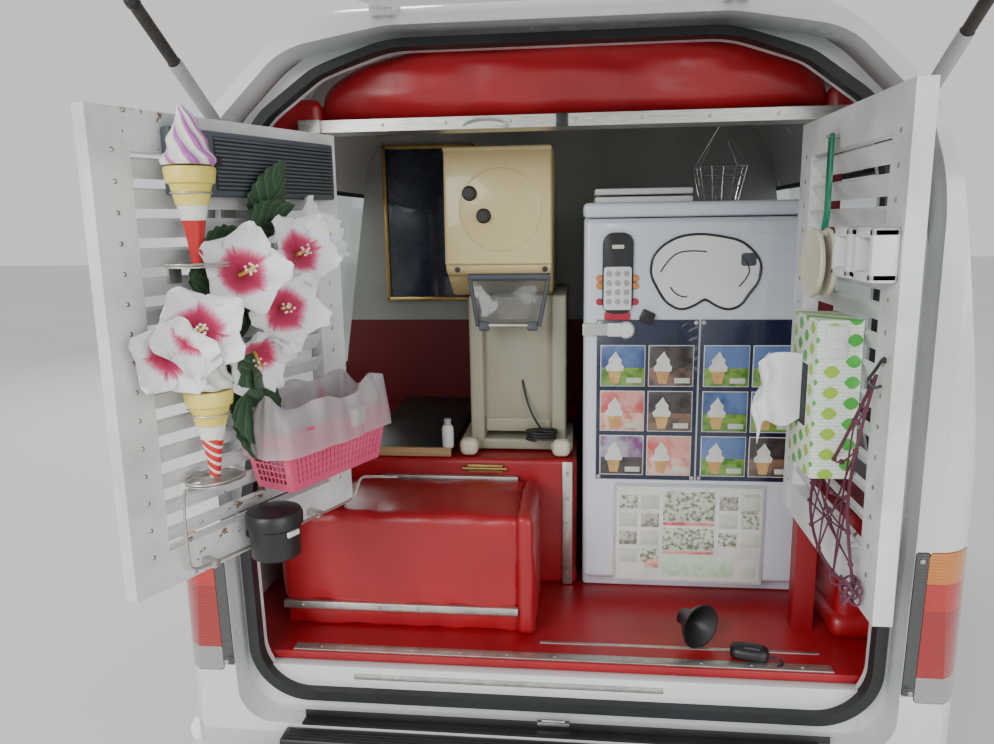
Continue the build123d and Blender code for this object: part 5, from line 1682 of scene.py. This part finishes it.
class KIOSK_OT_basket(bpy.types.Operator):
    """Build the pink basket, its hook and the bag that lines it"""

    bl_idname = "kiosk.basket"
    bl_label = "Basket and bag"

    def execute(self, context):
        pink = "pink_plastic"
        low_half, high_half, low_deep, high_deep, height = 0.112, 0.132, 0.038, 0.05, 0.102
        along, off, foot = 0.145, 0.082, 1.072
        place = shifted(along, off, foot)
        lean = (high_deep - low_deep) / height
        slope = (high_half - low_half) / height
        parts = []
        for side in (-1, 1):
            wall = slotted_wall(2 * low_half, 2 * high_half, height, 0.002, 24, 9)
            tilt = shifted(0, side * low_deep, 0) @ shear_y(side * lean)
            parts.append((moved(wall, place, tilt), pink))
            end = slotted_wall(2 * low_deep, 2 * high_deep, height, 0.002, 9, 9)
            turn = shifted(side * low_half, 0, 0) @ spun(-90 * side, "Z") @ shear_y(slope)
            parts.append((moved(end, place, turn), pink))
        floor = block((-low_half, -low_deep, -0.001), (low_half, low_deep, 0.0015), 0.0008)
        parts.append((moved(floor, place), pink))
        rim_points = [(high_half * x, high_deep * y, height) for x, y in rounded(2, 2, 0.12, steps=4)]
        parts.append((moved(wire(rim_points, 0.0042, closed=True), place), pink))
        ring_points = [
            ((high_half - 0.004) * x, (high_deep - 0.003) * y, height - 0.02)
            for x, y in rounded(2, 2, 0.12, steps=4)
        ]
        parts.append((moved(wire(ring_points, 0.0018, closed=True), place), pink))
        hook_low, hook_high, hook_width = 1.15, 1.205, 0.018
        for start in (0.07, 0.22):
            shape = block(
                (start, LEAF_FACE, hook_low), (start + hook_width, LEAF_FACE + 0.006, hook_high), 0.002
            )
            parts.append((shape, pink))
        tag = block((0.085, 0.1325, 1.152), (0.125, 0.137, 1.184), 0.0015)
        parts.append((tag, "white_plastic"))
        add_piece("slotted_basket", parts, "leaf_left", ["waste_basket"], left_leaf)

        # Thin bag inside the basket: up over the rim, gathered, and folded down outside
        levels = (
            # height, share of the half width, share of the half depth, ruffle
            (1.078, 0.7, 0.6, 0.2), (1.11, 0.8, 0.75, 0.4), (1.15, 0.9, 0.88, 0.5),
            (1.178, 0.93, 0.92, 0.8), (1.198, 0.96, 0.96, 1.3), (1.21, 1.0, 1.02, 1.9),
            (1.211, 1.05, 1.1, 2.2), (1.199, 1.09, 1.17, 2.0), (1.176, 1.11, 1.2, 1.6),
            (1.152, 1.115, 1.21, 1.3), (1.134, 1.12, 1.22, 1.2),
        )
        around = 120
        bm = bmesh.new()
        rings = []
        for up, wide, deep, ruffle in levels:
            ring = []
            for step in range(around):
                angle = tau * step / around
                squareness = max(abs(cos(angle)), abs(sin(angle))) ** -0.7
                across = high_half * wide * squareness * cos(angle)
                away = high_deep * deep * squareness * sin(angle)
                gathers = sin(angle * 9 + up * 60) + 0.6 * sin(angle * 21 + 1.3) + 0.5 * sin(angle * 5)
                wave = 0.0021 * ruffle * gathers
                lobes = 0.4 + 0.6 * sin(angle * 2 + 0.8) * sin(angle * 5)
                peak = 0.022 * max(0.0, ruffle - 0.9) * lobes if up > 1.17 else 0.0
                across += wave * cos(angle)
                away = max(away + wave * sin(angle), LEAF_FACE + 0.0015 - off)
                ring.append(bm.verts.new((along + across, off + away, up + peak)))
            rings.append(ring)
        rows = [[bm.edges.new((ring[k], ring[(k + 1) % around])) for k in range(around)] for ring in rings]
        for lower, upper in zip(rows, rows[1:]):
            bmesh.ops.bridge_loops(bm, edges=lower + upper)
        bmesh.ops.recalc_face_normals(bm, faces=bm.faces)
        bag_area = sum(face.calc_area() for face in bm.faces)
        bag = add_piece(
            "bag_liner", [(bm, "bag_film")], "leaf_left", place=left_leaf, sharp=80
        )
        return {"FINISHED"}


class KIOSK_OT_left_fittings(bpy.types.Operator):
    """Fit the vent panel, cup, wire guard and screws to the left leaf"""

    bl_idname = "kiosk.left_fittings"
    bl_label = "Left leaf fittings"

    def execute(self, context):
        grey, black, metal = "grey_plastic", "black_plastic", "bare_aluminium"
        parts = [(block((0.028, LEAF_FACE, 1.548), (0.378, LEAF_FACE + 0.02, 1.645), 0.004), grey)]
        shape = block((0.036, LEAF_FACE + 0.018, 1.557), (0.3, LEAF_FACE + 0.021, 1.637), 0.001)
        parts.append((shape, "black_rubber"))
        rib_count, lowest_rib, rib_pitch = 13, 1.5595, 0.006
        for level in range(rib_count):
            up = lowest_rib + level * rib_pitch
            shape = block((0.037, LEAF_FACE + 0.018, up), (0.299, LEAF_FACE + 0.024, up + 0.0036), 0.0008)
            parts.append((shape, grey))
        shape = block((0.312, LEAF_FACE + 0.018, 1.556), (0.37, LEAF_FACE + 0.023, 1.638), 0.003)
        parts.append((shape, grey))
        shape = block((0.29, LEAF_FACE + 0.02, 1.592), (0.314, LEAF_FACE + 0.026, 1.606), 0.002)
        parts.append((shape, black))
        add_piece("ribbed_vent", parts, "leaf_left", place=left_leaf)

        # Round cup with a lid that hangs on the lower rail
        cup = turned(
            [
                (0, 0.0), (0.036, 0.0), (0.041, 0.004), (0.042, 0.052), (0.047, 0.056), (0.0475, 0.074),
                (0.044, 0.08), (0.02, 0.086), (0, 0.087),
            ],
            steps=56
        )
        parts = [(moved(cup, shifted(0.262, 0.078, 0.957)), black)]
        parts += [
            (block((0.245, LEAF_FACE, 0.985), (0.28, 0.045, 1.03), 0.003), black),
            (block((0.253, 0.119, 1.0), (0.277, 0.1245, 1.009), 0.001), "white_plastic"),
        ]
        add_piece("lidded_cup", parts, "leaf_left", place=left_leaf)

        # Bent wire guard from the lower tray round to the bench
        bends = (
            (0.4, 0.075, 1.1262), (0.41, 0.062, 1.124), (0.415, 0.052, 1.11), (0.415, 0.05, 1.06),
            (0.413, 0.048, 0.998), (0.408, 0.048, 0.984), (0.39, 0.05, 0.98), (0.2, 0.052, 0.978),
            (0.045, 0.055, 0.977), (0.03, 0.06, 0.985), (0.028, 0.07, 1.02), (0.026, 0.085, 1.026),
            (0.012, 0.15, 1.03),
        )
        guard = wire(bends, 0.0025)
        clips = [
            (block((along, LEAF_FACE, 0.972), (along + 0.012, 0.056, 0.984), 0.001), metal)
            for along in (0.12, 0.36)
        ]
        add_piece("wire_guard", [(guard, metal)] + clips, "leaf_left", place=left_leaf)

        self.screws("left_leaf_screws", "leaf_left", left_leaf, LEFT_LEAF_WIDTH, 1)
        self.screws("right_leaf_screws", "leaf_right", right_leaf, RIGHT_LEAF_WIDTH, -1)
        return {"FINISHED"}

    def screws(self, name, body, place, width, side):
        """Screw heads down both stiles of a leaf, one for every slat."""
        inset, lowest_slat, slat_pitch, slat_count = 0.034, 1.018, 0.0421, 15
        parts = []
        for along in (inset, width - inset):
            for level in range(slat_count):
                up = lowest_slat + level * slat_pitch
                head = dome(0.0038, 0.0014, 0.0028, 0.001, 8)
                turn = shifted(side * along, LEAF_FACE, up) @ spun(-90, "X")
                parts.append((moved(head, turn), "screw_steel"))
        add_piece(name, parts, body, place=place)


# ---------------------------------------------------------------- fittings on the right louvre leaf


class KIOSK_OT_right_fittings(bpy.types.Operator):
    """Hang the paddle, holder, tissue box, hook and net on the right leaf"""

    bl_idname = "kiosk.right_fittings"
    bl_label = "Right leaf fittings"

    def execute(self, context):
        white, black = "white_plastic", "black_plastic"
        parts = []
        handle = block((-0.214, 0.034, 1.5), (-0.198, 0.041, 1.63), 0.003)
        parts.append((handle, "handle_green"))
        neck = wire([(-0.206, 0.0375, 1.51), (-0.21, 0.04, 1.495), (-0.22, 0.045, 1.482)], 0.005)
        parts += [
            (neck, "handle_green"),
            (bar((-0.206, LEAF_FACE, 1.625), (-0.206, 0.045, 1.625), 0.003), "screw_steel"),
        ]
        for off in (0.036, 0.055):
            disc = turned(
                [
                    (0, 0.0), (0.048, 0.0), (0.0525, 0.002), (0.054, 0.006), (0.0525, 0.009),
                    (0.046, 0.0075), (0, 0.0068),
                ],
                steps=56,
            )
            parts.append((moved(disc, shifted(-0.226, off, 1.434) @ spun(-90, "X")), "ivory_plastic"))
        parts.append((bar((-0.226, 0.036, 1.478), (-0.226, 0.06, 1.478), 0.006), "ivory_plastic"))
        add_piece("green_paddle", parts, "leaf_right", place=right_leaf)

        # White double holder: two open frames joined by a bridge
        parts = []
        bottom, top, width, bar_width = 1.42, 1.49, 0.07, 0.014
        for start in (-0.385, -0.472):
            end = start + width
            for low, high in (
                ((start, bottom), (end, bottom + bar_width)), ((start, top - bar_width), (end, top)),
                ((start, bottom), (start + bar_width, top)), ((end - bar_width, bottom), (end, top)),
            ):
                shape = block((low[0], LEAF_FACE, low[1]), (high[0], LEAF_FACE + 0.034, high[1]), 0.004)
                parts.append((shape, white))
        parts.append((block((-0.402, LEAF_FACE, 1.446), (-0.384, LEAF_FACE + 0.02, 1.466), 0.003), white))
        add_piece("white_holder", parts, "leaf_right", place=right_leaf)

        # Tissue box stood on end, with its slot towards the kiosk and one tissue drawn out
        near_low, near_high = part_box("tissue_box")
        box = block(near_low + Vector((0.0005, 0.0005, 0)), near_high - Vector((0.0005, 0.0005, 0)), 0.0018)
        x, y, z = near_low.x, near_low.y, near_high.z
        flap = block(
            (x - 0.0008, y + 0.036, near_low.z + 0.07), (x + 0.0012, near_high.y - 0.036, z - 0.07), 0.0005
        )
        clip = block((x + 0.012, y - 0.004, z - 0.055), (x + 0.042, y + 0.004, z - 0.008), 0.003)
        tongue = block((x + 0.016, y - 0.007, z - 0.04), (x + 0.038, y - 0.003, z - 0.028), 0.0015)
        parts = [(box, "leafy_card"), (flap, "black_rubber"), (clip, white), (tongue, white)]
        add_piece("leafy_tissue_box", parts, "leaf_right", ["tissue_box"])

        bm = bmesh.new()
        bmesh.ops.create_grid(bm, x_segments=26, y_segments=34, size=0.5)
        slot_y, slot_top = (near_low.y + near_high.y) / 2, near_high.z - 0.058
        for vert in bm.verts:
            out, down = vert.co.x + 0.5, vert.co.y + 0.5
            away = 0.064 * sin(out * pi / 2) ** 0.9 * (1 - 0.07 * sin(down * 8))
            away += 0.002 * sin(down * 15) * out
            fold = 0.0075 * sin(down * 8 + out * 3.5) * out + 0.004 * sin(out * 17 + down * 3) * out
            drop = down * (0.098 + 0.016 * out + 0.012 * sin(out * 7)) + 0.014 * out * out
            up = slot_top - drop + 0.004 * sin(out * 5)
            vert.co = Vector((near_low.x - 0.0015 - away, slot_y + fold, up))
        sheet_area = sum(face.calc_area() for face in bm.faces)
        tissue = add_piece("drawn_tissue", [(bm, "soft_tissue")], "leaf_right", sharp=80)
        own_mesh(tissue)

        # Black double hook at the leaf's edge and the knotted net that hangs from it
        hook = wire(
            [
                (-0.464, 0.034, 1.288), (-0.468, 0.046, 1.284), (-0.466, 0.052, 1.296),
                (-0.456, 0.04, 1.306), (-0.452, 0.032, 1.318), (-0.46, 0.03, 1.326), (-0.47, 0.034, 1.32),
            ],
            0.0022,
        )
        add_piece("double_hook", [(hook, black)], "leaf_right", place=right_leaf)
        add_piece("knotted_net", self.net(), "leaf_right", ["cord_net"], right_leaf)
        return {"FINISHED"}

    def net(self):
        """Slack net: two edge cords, crossing strands that sag between knots, and a hank at its foot."""
        cord = "net_cord"
        parts = []
        top = Vector((-0.452, 0.036, 1.3))
        foot = Vector((-0.43, 0.036, 0.985))
        far = Vector((-0.24, 0.04, 1.11))
        left_edge = [top, (-0.44, 0.048, 1.22), (-0.418, 0.05, 1.12), (-0.42, 0.044, 1.05), foot]
        upper_edge = [top, (-0.415, 0.052, 1.215), (-0.345, 0.056, 1.135), (-0.285, 0.05, 1.1), far]
        lower_edge = [far, (-0.25, 0.05, 1.062), (-0.29, 0.055, 1.02), (-0.35, 0.05, 0.985), foot]
        for points in (left_edge, upper_edge, lower_edge):
            parts.append((wire(points, 0.0024), cord))

        def along(points, t):
            reached = t * (len(points) - 1)
            low = min(int(reached), len(points) - 2)
            return Vector(points[low]).lerp(Vector(points[low + 1]), reached - low)

        knots = []
        for start, end in ((0.15, 0.2), (0.32, 0.42), (0.5, 0.6), (0.68, 0.8), (0.85, 0.95)):
            a, b = along(left_edge, start), along(upper_edge, end)
            c = along(lower_edge, 1 - end * 0.9)
            sag = Vector((0, 0.006, -0.02))
            parts += [
                (wire([a, (a + b) / 2 + sag, b], 0.0014), cord),
                (wire([b, (b + c) / 2 + sag * 0.6, c], 0.0014), cord),
                (wire([a, (a + c) / 2 + sag * 0.4, c], 0.0014), cord),
            ]
            knots += [a, b, c, (a + b) / 2 + sag * 0.5]
        for point in knots:
            knot = bmesh.new()
            bmesh.ops.create_icosphere(
                knot, subdivisions=2, radius=0.0042, matrix=Matrix.Translation(point)
            )
            parts.append((knot, cord))
        loops = []
        for step in range(46):
            angle = step * tau / 9
            reach = 0.015 + 0.008 * sin(step * 1.3)
            across, up = foot.x - 0.002 + reach * cos(angle), foot.z + 0.004 + reach * sin(angle)
            loops.append((across, foot.y + 0.006 + 0.011 * sin(angle * 1.3), up))
        parts.append((wire(loops, 0.0016), cord))
        shape = wire(
            [
                foot, (-0.40, 0.045, 0.985), (-0.375, 0.05, 1.0), (-0.37, 0.05, 0.975),
                (-0.385, 0.045, 0.972), (-0.41, 0.04, 0.985),
            ],
            0.0014,
        )
        parts.append((shape, cord))
        return parts


# ---------------------------------------------------------------- wheels, struts and outside trim


class KIOSK_OT_wheels(bpy.types.Operator):
    """Build the treaded tyres, wheel nuts and valve stems"""

    bl_idname = "kiosk.wheels"
    bl_label = "Wheels"

    def execute(self, context):
        for place in ("rear_left", "rear_right", "front_left", "front_right"):
            low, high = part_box("tyre_" + place)
            centre, width = (low + high) / 2, high.x - low.x
            side = -1 if "left" in place else 1
            turn = Matrix.Translation(centre) @ spun(90 * side, "Y")
            parts = [(moved(self.tyre(width, (high.z - low.z) / 2), turn), "tyre_black")]
            add_piece("treaded_tyre_" + place, parts, "wheel_" + place, ["tyre_" + place])
            rim_low, rim_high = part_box("rim_" + place)
            parts = []
            nut_inset, nut_count, nut_reach = 0.026, 4, 0.05
            nut_x = (rim_high.x if side > 0 else rim_low.x) - side * nut_inset
            for step in range(nut_count):
                angle = tau * (step + 0.5) / nut_count
                hub = shifted(nut_x, centre.y + nut_reach * cos(angle), centre.z + nut_reach * sin(angle))
                nut = turned([(0, 0.012), (0.006, 0.012), (0.0095, 0.008), (0.0095, 0), (0, 0)], steps=6)
                parts.append((moved(nut, hub @ spun(90 * side, "Y")), "screw_steel"))
            stem = bar(
                (nut_x, centre.y, centre.z + 0.135), (nut_x + side * 0.012, centre.y, centre.z + 0.128),
                0.003,
            )
            parts.append((stem, "black_plastic"))
            add_piece("wheel_nuts_" + place, parts, "wheel_" + place)
        return {"FINISHED"}

    def tyre(self, width, radius):
        """Tyre about Z: crowned tread with three grooves, block edges and a ribbed side wall."""
        half, around = width / 2, 144
        one_side = (
            # share of the half width, depth under the crown
            (0.72, 0.108), (0.86, 0.1), (0.985, 0.075), (1, 0.055), (0.985, 0.034), (0.92, 0.018),
            (0.8, 0.0045), (0.74, 0.003), (0.52, 0.0012), (0.51, 0.008), (0.44, 0.008), (0.43, 0.0006),
            (0.004 / half, 0), (0.0035 / half, 0.008),
        )
        profile = [(radius - depth, -half * share) for share, depth in one_side]
        profile += [(reach, -up) for reach, up in reversed(profile)]
        bm = turned(profile, steps=around)
        # Every third step of the tread is cut back, so that blocks stand between the cuts
        for vert in bm.verts:
            flat = vert.co.to_2d()
            reach = flat.length
            step = round(flat.angle_signed(Vector((1, 0))) / tau * around) if reach else 0
            outer = abs(vert.co.z) > half * 0.52 - 1e-4
            if radius - 0.012 < reach and step % 3 == (0 if outer else 1) and abs(vert.co.z) > 0.002:
                depth = 0.006 if outer else 0.0035
                vert.co.x *= (reach - depth) / reach
                vert.co.y *= (reach - depth) / reach
        for face_up in (-1, 1):
            join(bm, wire(circle((0, 0, face_up * half * 0.99), radius - 0.05, 72), 0.0012, closed=True))
        return bm


class KIOSK_OT_struts(bpy.types.Operator):
    """Fit a sleeve and an end collar to each gas strut"""

    bl_idname = "kiosk.struts"
    bl_label = "Gas struts"

    def execute(self, context):
        for side in ("left", "right"):
            foot = pins["strut_" + side + "_foot"]
            low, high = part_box("strut_cylinder_" + side)
            rod_low, rod_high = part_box("strut_rod_" + side)
            middle = (low.x + high.x) / 2
            head = Vector((middle, rod_low.y + 0.008, rod_high.z - 0.008))
            foot = Vector((middle, foot.y, foot.z))
            run = (head - foot).normalized()
            along = Matrix.Translation(foot) @ Vector((0, 0, 1)).rotation_difference(run).to_matrix().to_4x4()
            length = (Vector((middle, low.y, high.z)) - foot).length - 0.01
            sleeve = turned(
                [
                    (0.0098, 0.07), (0.0108, 0.072), (0.0108, length * 0.62),
                    (0.0098, length * 0.62 + 0.002), (0.0098, 0.07),
                ],
                steps=32
            )
            collar = turned(
                [
                    (0.0092, length - 0.014), (0.0104, length - 0.012), (0.0104, length - 0.003),
                    (0.0085, length),
                ],
                steps=32,
            )
            parts = [(moved(sleeve, along), "grey_trim"), (moved(collar, along), "black_plastic")]
            add_piece("strut_sleeve_" + side, parts, "strut_" + side + "_cylinder")
        return {"FINISHED"}


class KIOSK_OT_tail_details(bpy.types.Operator):
    """Fit the step plate, blank number plate, striker loop and lamp screws"""

    bl_idname = "kiosk.tail_details"
    bl_label = "Tail details"

    def execute(self, context):
        black, screw = "black_plastic", "screw_steel"
        low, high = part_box("rear_bumper")
        step = block((-0.5, low.y + 0.003, high.z - 0.016), (0.5, TAIL - 0.0008, high.z + 0.014), 0.005, 3)
        parts = [(step, black)]
        for row in range(4):
            start = low.y + 0.01 + row * 0.008
            shape = block((-0.49, start, high.z + 0.013), (0.49, start + 0.003, high.z + 0.0152), 0.0008)
            parts.append((shape, black))
        panel_low, panel_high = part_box("tail_panel")
        lip = block(
            (panel_low.x - 0.03, TAIL - 0.001, panel_high.z - 0.003),
            (panel_high.x + 0.03, TAIL + 0.0205, panel_high.z + 0.0012), 0.0006,
        )
        scuff = block(spot(-0.47, 0.0206, panel_high.z), spot(0.49, 0.0216, 0.6), 0.0004)
        parts += [(lip, black), (scuff, black)]
        add_piece("step_plate", parts, "chassis")

        # Blank plate with its two screws
        plate = prism(rounded(*PLATE, centre=(0, 0.47)), -0.0012, 0.0004)
        parts = [(moved(plate, at(0, -0.0462, 0)), "white_plastic")]
        for across in (-0.105, 0.105):
            head = dome(0.0065, 0.003, 0.005, 0.002, 16)
            parts.append((moved(head, facing_tail(across, -0.0474, 0.53)), screw))
        add_piece("blank_plate", parts, "chassis")

        # Striker loop on the sill
        loop = wire(
            [
                spot(-0.02, 0.024, 0.6), spot(-0.014, 0.0225, 0.601), spot(0.014, 0.0225, 0.601),
                spot(0.02, 0.024, 0.6),
            ],
            0.003,
        )
        base = block(spot(-0.03, 0.0203, 0.591), spot(0.03, 0.03, 0.599), 0.0015)
        add_piece("lock_striker", [(loop, screw), (base, screw)], "chassis")

        # Screws of the tail lamps' trims
        parts = []
        for side in (-1, 1):
            for up in (0.712, 0.95):
                head = dome(0.0045, 0.002, 0.0035, 0.0014, 12)
                parts.append((moved(head, facing_tail(side * 0.602, -0.0128, up)), screw))
        add_piece("lamp_screws", parts, "chassis")
        return {"FINISHED"}


# Fewest points of a line that runs round a pane
RIM_POINTS = 8

# Start of the rays that look for the nose, well ahead of it
AHEAD_OF_NOSE = 9


def pane_rims(name, outward):
    """Closed lines of points round the outer faces of a pane."""
    bm = bmesh.new()
    bm.from_mesh(frame["nodes"][name].data)
    bmesh.ops.remove_doubles(bm, verts=bm.verts, dist=2e-5)
    outer = {face for face in bm.faces if face.normal.dot(Vector(outward)) > 0.5}
    border = [edge for edge in bm.edges if sum(face in outer for face in edge.link_faces) == 1]
    links = {}
    for edge in border:
        for vert in edge.verts:
            links.setdefault(vert, []).append(edge.other_vert(vert))
    loops = []
    while links:
        start = min(links, key=lambda vert: vert.index)
        loop, here = [], start
        while here in links:
            loop.append(here.co.copy())
            onward = [vert for vert in links.pop(here) if vert in links]
            here = onward[0] if onward else None
        if len(loop) >= RIM_POINTS:
            loops.append(loop)
    bm.free()
    return loops


def on_skin(name, start, direction):
    """Place where a ray first meets a solid, with +Z away from its surface and +Y upright."""
    place, normal = frame["nodes"][name].ray_cast(Vector(start), Vector(direction))[1:3]
    return Matrix.Translation(place) @ normal.to_track_quat("Z", "Y").to_matrix().to_4x4()


class KIOSK_OT_seats(bpy.types.Operator):
    """Build the padded cab seats"""

    bl_idname = "kiosk.seats"
    bl_label = "Cab seats"

    def execute(self, context):
        low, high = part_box("front_seats")
        cloth = "seat_cloth"
        parts = []
        for side in (-1, 1):
            near, far = sorted((side * 0.09, side * 0.55))
            base = block(
                (near + 0.02, low.y + 0.16, low.z), (far - 0.02, high.y - 0.04, low.z + 0.07), 0.01
            )
            parts.append((base, "black_steel"))
            cushion = pad(
                Vector((near, low.y + 0.1, low.z + 0.062)), Vector((far, high.y - 0.008, low.z + 0.178)),
                0.035, 0.01, 0.002,
            )
            parts.append((cushion, cloth))
            lean = shifted((near + far) / 2, low.y + 0.12, low.z + 0.16) @ spun(8.5, "X")
            back = pad(Vector((-0.22, -0.045, 0)), Vector((0.22, 0.045, 0.46)), 0.035, 0.01, 0.002)
            rest = pad(
                Vector((-0.13, -0.035, 0.485)), Vector((0.13, 0.035, 0.632)), 0.03, 0.008, 0.002, cells=12
            )
            parts += [(moved(back, lean), cloth), (moved(rest, lean), cloth)]
            for post in (-0.06, 0.06):
                parts.append((moved(bar((post, 0, 0.44), (post, 0, 0.52), 0.006), lean), "rod_chrome"))
        piece = add_piece("padded_seats", parts, "chassis", ["front_seats"])
        return {"FINISHED"}


class KIOSK_OT_outside(bpy.types.Operator):
    """Fit handles, rails, seals, lamp rims, indicators, mirror glasses, filler flap and wipers"""

    bl_idname = "kiosk.outside"
    bl_label = "Outside trim"

    def execute(self, context):
        black, paint = "black_plastic", "body_paint"
        for side, name in ((-1, "left"), (1, "right")):
            face = side * FLANK
            slide = [(self.handle(side, 1.32, 0.985), black)]
            inner, outer = sorted((face, face - side * 0.004))
            rail = [(block(spot(inner, 0.28, 0.905), spot(outer, 1.2, 0.921), 0.0015), black)]
            add_piece("slide_handle_" + name, slide, "chassis")
            add_piece("slide_rail_" + name, rail, "chassis")
            door = [(self.handle(side, 2.24, 0.985), black)]
            add_piece("door_handle_" + name, door, "door_" + name)

        # Rubber seals round the panes
        seals = (
            # pane, side that it faces, body
            ("side_windows", (-1, 0, 0), "chassis"), ("side_windows", (1, 0, 0), "chassis"),
            ("windscreen", (0, 0.8, 0.6), "chassis"), ("tailgate_glass", (0, 0, 1), "tailgate"),
            ("door_glass_left", (-1, 0, 0), "door_left"), ("door_glass_right", (1, 0, 0), "door_right"),
        )
        for index, (pane, outward, body) in enumerate(seals):
            parts = [
                (wire(loop, 0.0085, closed=True, soft=False), "black_rubber")
                for loop in pane_rims(pane, outward)
            ]
            add_piece("pane_seal_" + str(index + 1), parts, body)

        # Rims round the headlamps, amber indicators and a blank plate on the front bumper
        for index, loop in enumerate(pane_rims("headlamps", (0, 1, 0))):
            rim = wire(loop, 0.005, closed=True, soft=False)
            add_piece("headlamp_rim_" + str(index + 1), [(rim, black)], "chassis")
        low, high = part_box("front_bumper")
        level = high.z - 0.06
        parts = []
        for side in (-1, 1):
            place = on_skin("front_bumper", (side * 0.47, AHEAD_OF_NOSE, level), (0, -1, 0))
            case = block((-0.075, -0.026, -0.012), (0.075, 0.026, 0.0025), 0.005, 3)
            lens = block((-0.069, -0.02, -0.01), (0.069, 0.02, 0.0045), 0.004, 3)
            parts += [(moved(case, place), black), (moved(lens, place), "amber_lens")]
        add_piece("front_indicators", parts, "chassis")
        plate = prism(rounded(*PLATE), 0.0016, 0.0005)
        place = on_skin("front_bumper", (0, AHEAD_OF_NOSE, (low.z + high.z) / 2 + 0.01), (0, -1, 0))
        upright = place @ shifted(0, 0, 0.001) @ spun(90, "X") @ spun(180, "Y")
        add_piece("front_plate", [(moved(plate, upright), "white_plastic")], "chassis")

        # Mirror glasses in the housings that the doors carry
        for side, name in ((-1, "left"), (1, "right")):
            across = sorted((side * 0.728, side * 0.832))
            glass = block(spot(across[0], 2.8575, 1.033), spot(across[1], 2.8605, 1.187), 0.001)
            add_piece("mirror_glass_" + name, [(glass, "mirror_silver")], "door_" + name)

        # Filler flap on the left flank
        flap = prism(rounded(0.15, 0.15, 0.03), 0.0015, 0.0006)
        turn = at(-0.6975, 1.08, 0.72) @ spun(90, "Z")
        add_piece("filler_flap", [(moved(flap, turn), paint)], "chassis")

        # Wipers parked at the foot of the windscreen
        low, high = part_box("windscreen")
        parts = []
        for pivot, tip in ((-0.36, 0.06), (0.16, 0.56)):
            start = Vector((pivot, high.y + 0.02, low.z))
            end = Vector((tip, high.y - 0.03, low.z + 0.09))
            shape = wire([start, start.lerp(end, 0.5) + Vector((0, 0.016, 0.012)), end], 0.005)
            parts.append((shape, black))
        add_piece("wipers", parts, "chassis")
        return {"FINISHED"}

    def handle(self, side, ahead, up):
        """Pull handle standing proud of a flank by a few millimetres."""
        face = side * (FLANK - 0.003)
        low_x, high_x = sorted((face - side * 0.004, face + side * 0.014))
        return block(spot(low_x, ahead, up), spot(high_x, ahead + 0.13, up + 0.026), 0.006, 3)


# ---------------------------------------------------------------- interface


PIECE_OPERATORS = (
    KIOSK_OT_finishes,
    KIOSK_OT_upholstery,
    KIOSK_OT_valance,
    KIOSK_OT_machine,
    KIOSK_OT_fridge,
    KIOSK_OT_wall_goods,
    KIOSK_OT_flowers,
    KIOSK_OT_cones,
    KIOSK_OT_basket,
    KIOSK_OT_left_fittings,
    KIOSK_OT_right_fittings,
    KIOSK_OT_wheels,
    KIOSK_OT_struts,
    KIOSK_OT_tail_details,
    KIOSK_OT_outside,
    KIOSK_OT_seats,
    KIOSK_OT_stage,
)


class KIOSK_PT_panel(bpy.types.Panel):
    """Sidebar page with a button for every group of pieces"""

    bl_idname = "KIOSK_PT_panel"
    bl_label = "Kiosk van"
    bl_space_type = "VIEW_3D"
    bl_region_type = "UI"
    bl_category = "Kiosk van"

    def draw(self, context):
        look = context.scene.kiosk_van
        settings = self.layout.column()
        for name in ("floor_size", "key_power", "floor_colour"):
            settings.prop(look, name)
        buttons = self.layout.column(align=True)
        for operator in PIECE_OPERATORS:
            buttons.operator(operator.bl_idname)


def register():
    for cls in (KioskVanLook, *PIECE_OPERATORS, KIOSK_PT_panel):
        bpy.utils.register_class(cls)
    bpy.types.Scene.kiosk_van = PointerProperty(type=KioskVanLook)


def unregister():
    del bpy.types.Scene.kiosk_van
    for cls in (KIOSK_PT_panel, *reversed(PIECE_OPERATORS), KioskVanLook):
        bpy.utils.unregister_class(cls)


def main():
    register()
    for operator in PIECE_OPERATORS:
        group, action = operator.bl_idname.split(".")
        getattr(getattr(bpy.ops, group), action)()


if __name__ == "__main__":
    main()
